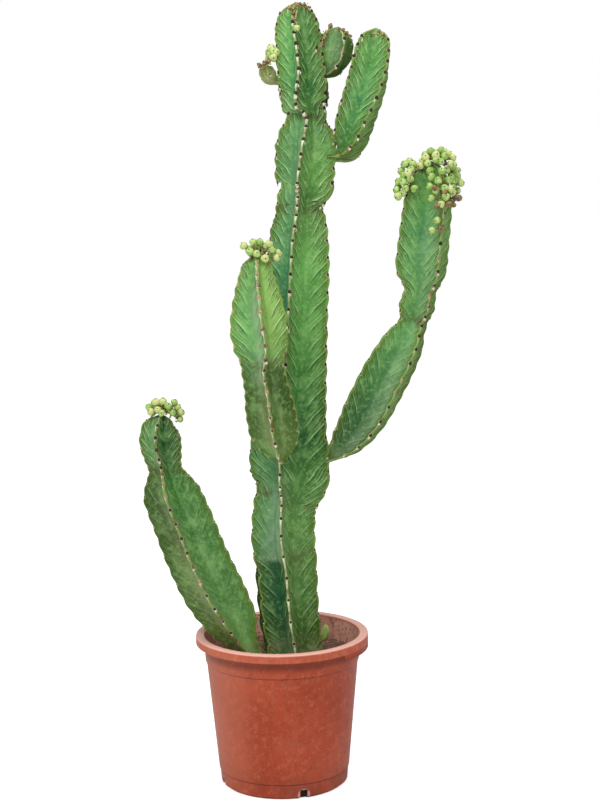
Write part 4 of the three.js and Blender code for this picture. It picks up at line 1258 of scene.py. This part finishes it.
class MakeShields(bpy.types.Operator):
    """Spine shields with their paired spines, in every notch of a stem's ribs"""

    bl_idname = "euphorbia.make_shields"
    bl_label = "Spine shields"

    stem: bpy.props.StringProperty(name="Stem", description="Which stem they stand on", default="trunk")

    SHIELD_HEIGHT = 0.0019
    SPINE_RADIUS = 0.0005
    SPINE_FOOT = (0.0012, -0.0008)  # from a shield's middle, sideways and along the rib
    SPINE_LEAN = (28, 38)  # downwards and sideways, degrees
    SCAR_SIZE = (0.0029, 0.0036, 0.0017)
    SCAR_DROP = (-0.0054, 0.0004)  # from a shield's middle, along the rib and outwards
    SCARRED = 0.85  # share of the shields with a scar

    def ball(self, title, rings, size):
        bpy.ops.mesh.primitive_uv_sphere_add(segments=8, ring_count=rings, radius=1)
        ball = named(title)
        ball.scale = size
        settle(ball)
        return ball

    def plate(self, sizes):
        """A domed plate with two short spines near its lower end."""
        high = self.SHIELD_HEIGHT
        seed = self.ball("shield_seed", 6, (sizes.shield_width / 2, sizes.shield_length / 2, high))
        aside, low = self.SPINE_FOOT
        lean, splay = map(math.radians, self.SPINE_LEAN)
        for hand in (-1, 1):
            bpy.ops.mesh.primitive_cone_add(
                vertices=4, radius1=self.SPINE_RADIUS, radius2=0, depth=sizes.spine_length,
                location=(hand * aside, low, high), rotation=(lean, hand * splay, 0))
            spine = bpy.context.object
            pick(seed)
            spine.select_set(True)
            bpy.ops.object.join()
        settle(seed)
        return seed

    def execute(self, context):
        clear_selection()
        draw = random.Random(len(self.stem) * 7 + 3)
        pink = STEMS[self.stem]["pink"]
        spots, scars, tints = [], [], []
        for place, size in shield_places(self.stem):
            jitter = Matrix.Rotation(draw.uniform(-0.12, 0.12), 4, "Z")
            place = place @ jitter @ Matrix.Scale(size * draw.uniform(0.88, 1.1), 4)
            spots.append(place)
            tints.append(min(1.0, pink * draw.uniform(0.3, 1.4)))
            if draw.random() < self.SCARRED:
                down = Matrix.Translation((draw.uniform(-0.0006, 0.0006), *self.SCAR_DROP))
                scars.append(place @ down @ Matrix.Scale(draw.uniform(0.7, 1.1), 4))
        if spots:
            shields = planted(self.stem + "_shields", self.plate(settings("stem")), spots, tints)
            smooth(shields, 60)
            dressed(shields, horn, "stem_skin")
            marks = planted(self.stem + "_scars", self.ball("scar_seed", 5, self.SCAR_SIZE), scars)
            smooth(marks)
            dressed(marks, scar, "stem_skin")
        return {"FINISHED"}


class MakeBunch(bpy.types.Operator):
    """One bunch of seed capsules, with its stalks and the dry remains of its flowers"""

    bl_idname = "euphorbia.make_bunch"
    bl_label = "Bunch of capsules"

    bunch: bpy.props.StringProperty(name="Bunch", description="Which bunch is made", default="berries_left")

    TIP = (0.0011, 0.0011, 0.0010)
    CALYX = (0.0026, 0.0026, 0.0016)
    DRY_TIP = 2.2  # how much larger the tip of a dried flower is
    TIP_LEVEL, FOOT_LEVEL = 0.84, -0.85  # on a capsule's axis, as shares of its radius
    LOBE, DIMPLE, SQUASH = 0.07, 0.12, 0.92  # a capsule's lobes, hollow top and height, as shares
    LINE_RADIUS = 0.0014
    CRUMBS = 8  # dry remains beside each stalk

    def nearest(self, line, spot):
        """Nearest place on the woody line to a capsule."""
        places = []
        for a, b in zip(line, line[1:]):
            run = b - a
            places.append(a + run * max(0.0, min(1.0, (spot - a).dot(run) / run.length_squared)))
        return min(places, key=lambda place: (place - spot).length)

    def capsule_seed(self, radius):
        """A round capsule with three faint lobes, its axis along +Z."""
        bpy.ops.mesh.primitive_uv_sphere_add(segments=15, ring_count=9, radius=radius)
        seed = named("capsule_seed")
        for v in seed.data.vertices:
            level = v.co.z / radius
            lobe = 1 + self.LOBE * math.cos(3 * math.atan2(v.co.y, v.co.x)) * (1 - level * level)
            dimple = self.DIMPLE * max(0.0, level - 0.75) / 0.25
            v.co.x *= lobe
            v.co.y *= lobe
            v.co.z = v.co.z * self.SQUASH - dimple * radius
        return seed

    def seeds(self, radius):
        """The small meshes that a bunch repeats: capsule, tip, stalk and crumb."""
        clear_selection()
        seeds = [self.capsule_seed(radius)]
        bpy.ops.mesh.primitive_uv_sphere_add(segments=7, ring_count=5, radius=1)
        seeds.append(named("tip_seed"))
        bpy.ops.mesh.primitive_cylinder_add(vertices=6, radius=1, depth=1)
        seeds.append(named("stalk_seed"))
        bpy.ops.mesh.primitive_ico_sphere_add(subdivisions=1, radius=1)
        return *seeds, named("remains_seed")

    def execute(self, context):
        sizes = settings("capsule")
        dry = self.bunch.startswith("dry_")
        line, centres = BUNCHES[self.bunch]
        draw = random.Random(sum(map(ord, self.bunch)))
        line = [Vector(p) * MM for p in line]
        middle = sum(line, Vector()) / len(line)
        capsule, dot, rod, crumb = self.seeds(sizes.radius)
        capsules, tints, tips, stalks, stalk_tints = [], [], [], [], []
        crumbs, crumb_tints = [], []

        def stalk(a, b, radius, tint):
            shape = stretched(radius, radius, (b - a).length)
            stalks.append(Matrix.Translation((a + b) / 2) @ facing(b - a) @ shape)
            stalk_tints.append(tint)

        def scattered(spread):
            return Vector([spread() for _ in range(3)])

        for x, y, z, *small in centres:
            spot = Vector((x, y, z)) * MM
            root = self.nearest(line, spot)
            away = (spot - root).normalized() + (spot - middle).normalized() * 0.6
            turn = facing(away) @ Matrix.Rotation(draw.uniform(0, 6.28), 4, "Z")
            size = draw.uniform(0.9, 1.08) * (small[0] if small else 1)
            place = Matrix.Translation(spot) @ turn @ Matrix.Scale(size, 4)
            capsules.append(place)
            tints.append(1.0 if small else draw.random() * 0.9)
            tips.append(place @ Matrix.Translation((0, 0, sizes.radius * self.TIP_LEVEL))
                        @ Matrix.Scale(self.DRY_TIP if dry else 1.0, 4) @ stretched(*self.TIP))
            base = place @ Vector((0, 0, sizes.radius * self.FOOT_LEVEL))
            elbow = (root + base) / 2 + scattered(lambda: draw.uniform(-0.0015, 0.0015))
            for a, b in ((root, elbow), (elbow, base)):
                stalk(a, b, sizes.stalk_radius * draw.uniform(0.85, 1.2), draw.uniform(0.0, 0.55))
            crumbs.append(Matrix.Translation(base) @ turn @ stretched(*self.CALYX))
            crumb_tints.append(draw.uniform(0.45, 1.0))
            for _ in range(self.CRUMBS):
                here = root.lerp(base, draw.random() ** 0.6) + scattered(lambda: draw.gauss(0, 0.0022))
                girth = draw.uniform(0.0009, 0.0022)
                spin = Matrix.Rotation(
                    draw.uniform(0, 6.28), 4, Vector((draw.random(), 1, draw.random())).normalized())
                crumbs.append(Matrix.Translation(here) @ spin @ stretched(girth, girth * 0.7, girth * 1.3))
                crumb_tints.append(draw.random())
        for a, b in zip(line, line[1:]):
            stalk(a, b, self.LINE_RADIUS, 0.3)
        for title, seed, places, shades, material, angle, nodes in (
            ("_capsules", capsule, capsules, tints, capsule_skin, None, [] if dry else [self.bunch]),
            ("_stalks", rod, stalks, stalk_tints, stalk_skin, 60, []),
            ("_remains", crumb, crumbs, crumb_tints, stalk_skin, 60, []),
            ("_tips", dot, tips, None, dry_tip, 60, []),
        ):
            piece = planted(self.bunch + title, seed, places, shades)
            smooth(piece, angle)
            dressed(piece, material, "capsules", *nodes)
        return {"FINISHED"}


class MakeStage(bpy.types.Operator):
    """Pale floor, soft studio light and the camera"""

    bl_idname = "euphorbia.make_stage"
    bl_label = "Stage"

    FOCAL_PIXELS = 1890  # the lens, in pixels of the 600 by 800 picture
    PICTURE_HEIGHT = 800
    FLOOR_RADIUS = 12
    PAN, TILT, ROLL = 0.69, 8.46, -1.0  # degrees
    LAMPS = (  # share of the key power, size, place and aim
        ("key", 1.0, 1.5, (-0.4, -2.6, 2.9), (0, 0, 0.6)),
        ("fill", 0.25, 2.0, (2.2, -1.8, 1.6), (0, 0, 0.6)),
        ("side", 0.36, 1.6, (-2.6, -1.4, 1.5), (0, 0, 0.6)),
        ("top", 0.7, 1.6, (0.1, -0.2, 3.3), (0, 0, 0.5)),
    )

    def camera(self, sizes):
        data = bpy.data.cameras.new("camera")
        data.sensor_fit = "AUTO"
        data.sensor_width = 36
        data.lens = data.sensor_width * self.FOCAL_PIXELS / self.PICTURE_HEIGHT
        data.clip_end = 50
        eye = placed("camera", data)
        pan, tilt, roll = (math.radians(v) for v in (self.PAN, self.TILT, self.ROLL))
        eye.matrix_world = (
            Matrix.Translation((0, -sizes.distance, sizes.camera_height))
            @ Matrix.Rotation(-pan, 4, "Z") @ Matrix.Rotation(math.radians(90) - tilt, 4, "X")
            @ Matrix.Rotation(roll, 4, "Z"))
        bpy.context.scene.camera = eye

    def lamp(self, title, power, size, place, aim):
        data = bpy.data.lights.new(title, "AREA")
        data.energy = power
        data.shape = "DISK"
        data.size = size
        place, aim = Vector(place), Vector(aim)
        turn = (aim - place).to_track_quat("-Z", "Y").to_matrix().to_4x4()
        placed(title, data).matrix_world = Matrix.Translation(place) @ turn

    def surroundings(self, sizes):
        """A white backdrop, which lights the plant less than it shows."""
        world = bpy.data.worlds.new("studio")
        bpy.context.scene.world = world
        world.use_nodes = True
        tree = world.node_tree
        ground = tree.nodes["Background"]
        ground.inputs["Color"].default_value = (1, 1, 1, 1)
        path = tree.nodes.new("ShaderNodeLightPath")
        shown = tree.nodes.new("ShaderNodeMapRange")
        shown.inputs["To Min"].default_value = sizes.sky
        shown.inputs["To Max"].default_value = 1.0
        tree.links.new(path.outputs["Is Camera Ray"], shown.inputs["Value"])
        tree.links.new(shown.outputs[0], ground.inputs["Strength"])

    def execute(self, context):
        sizes = settings("stage")
        clear_selection()
        bpy.ops.mesh.primitive_circle_add(
            vertices=96, radius=self.FLOOR_RADIUS, fill_type="NGON", location=(0, 0, 0))
        ground = named("floor")
        ground.data.materials.append(floor_paint("floor_paint"))
        self.camera(sizes)
        self.surroundings(sizes)
        for title, share, *rest in self.LAMPS:
            self.lamp(title, sizes.key_power * share, *rest)
        context.scene.view_settings.view_transform = "Standard"
        return {"FINISHED"}


class EuphorbiaPanel(bpy.types.Panel):
    """Buttons for each piece of the plant, and its sizes"""

    bl_idname = "VIEW3D_PT_euphorbia"
    bl_label = "Potted euphorbia"
    bl_space_type = "VIEW_3D"
    bl_region_type = "UI"
    bl_category = "Euphorbia"

    def draw(self, context):
        layout = self.layout
        layout.operator(MakeContainer.bl_idname)
        layout.operator(MakeCompost.bl_idname)
        for name in STEMS:
            row = layout.row()
            row.operator(MakeStem.bl_idname, text=name).stem = name
            row.operator(MakeShields.bl_idname, text=name + " shields").stem = name
        for name in BUNCHES:
            layout.operator(MakeBunch.bl_idname, text=name).bunch = name
        layout.operator(MakeStage.bl_idname)
        for group in SETTINGS:
            box = layout.box()
            box.label(text=group.capitalize())
            for key in SETTINGS[group].__annotations__:
                box.prop(settings(group), key)


CLASSES = (*SETTINGS.values(), MakeContainer, MakeCompost, MakeStem, MakeShields, MakeBunch, MakeStage,
           EuphorbiaPanel)


def register():
    for cls in CLASSES:
        bpy.utils.register_class(cls)
    for name, group in SETTINGS.items():
        setattr(bpy.types.Scene, "euphorbia_" + name, bpy.props.PointerProperty(type=group))


def unregister():
    for name in SETTINGS:
        delattr(bpy.types.Scene, "euphorbia_" + name)
    for cls in reversed(CLASSES):
        bpy.utils.unregister_class(cls)


def main():
    register()
    bpy.ops.euphorbia.make_container()
    bpy.ops.euphorbia.make_compost()
    for name in STEMS:
        bpy.ops.euphorbia.make_stem(stem=name)
        bpy.ops.euphorbia.make_shields(stem=name)
    for name in BUNCHES:
        bpy.ops.euphorbia.make_bunch(bunch=name)
    bpy.ops.euphorbia.make_stage()


if __name__ == "__main__":
    main()
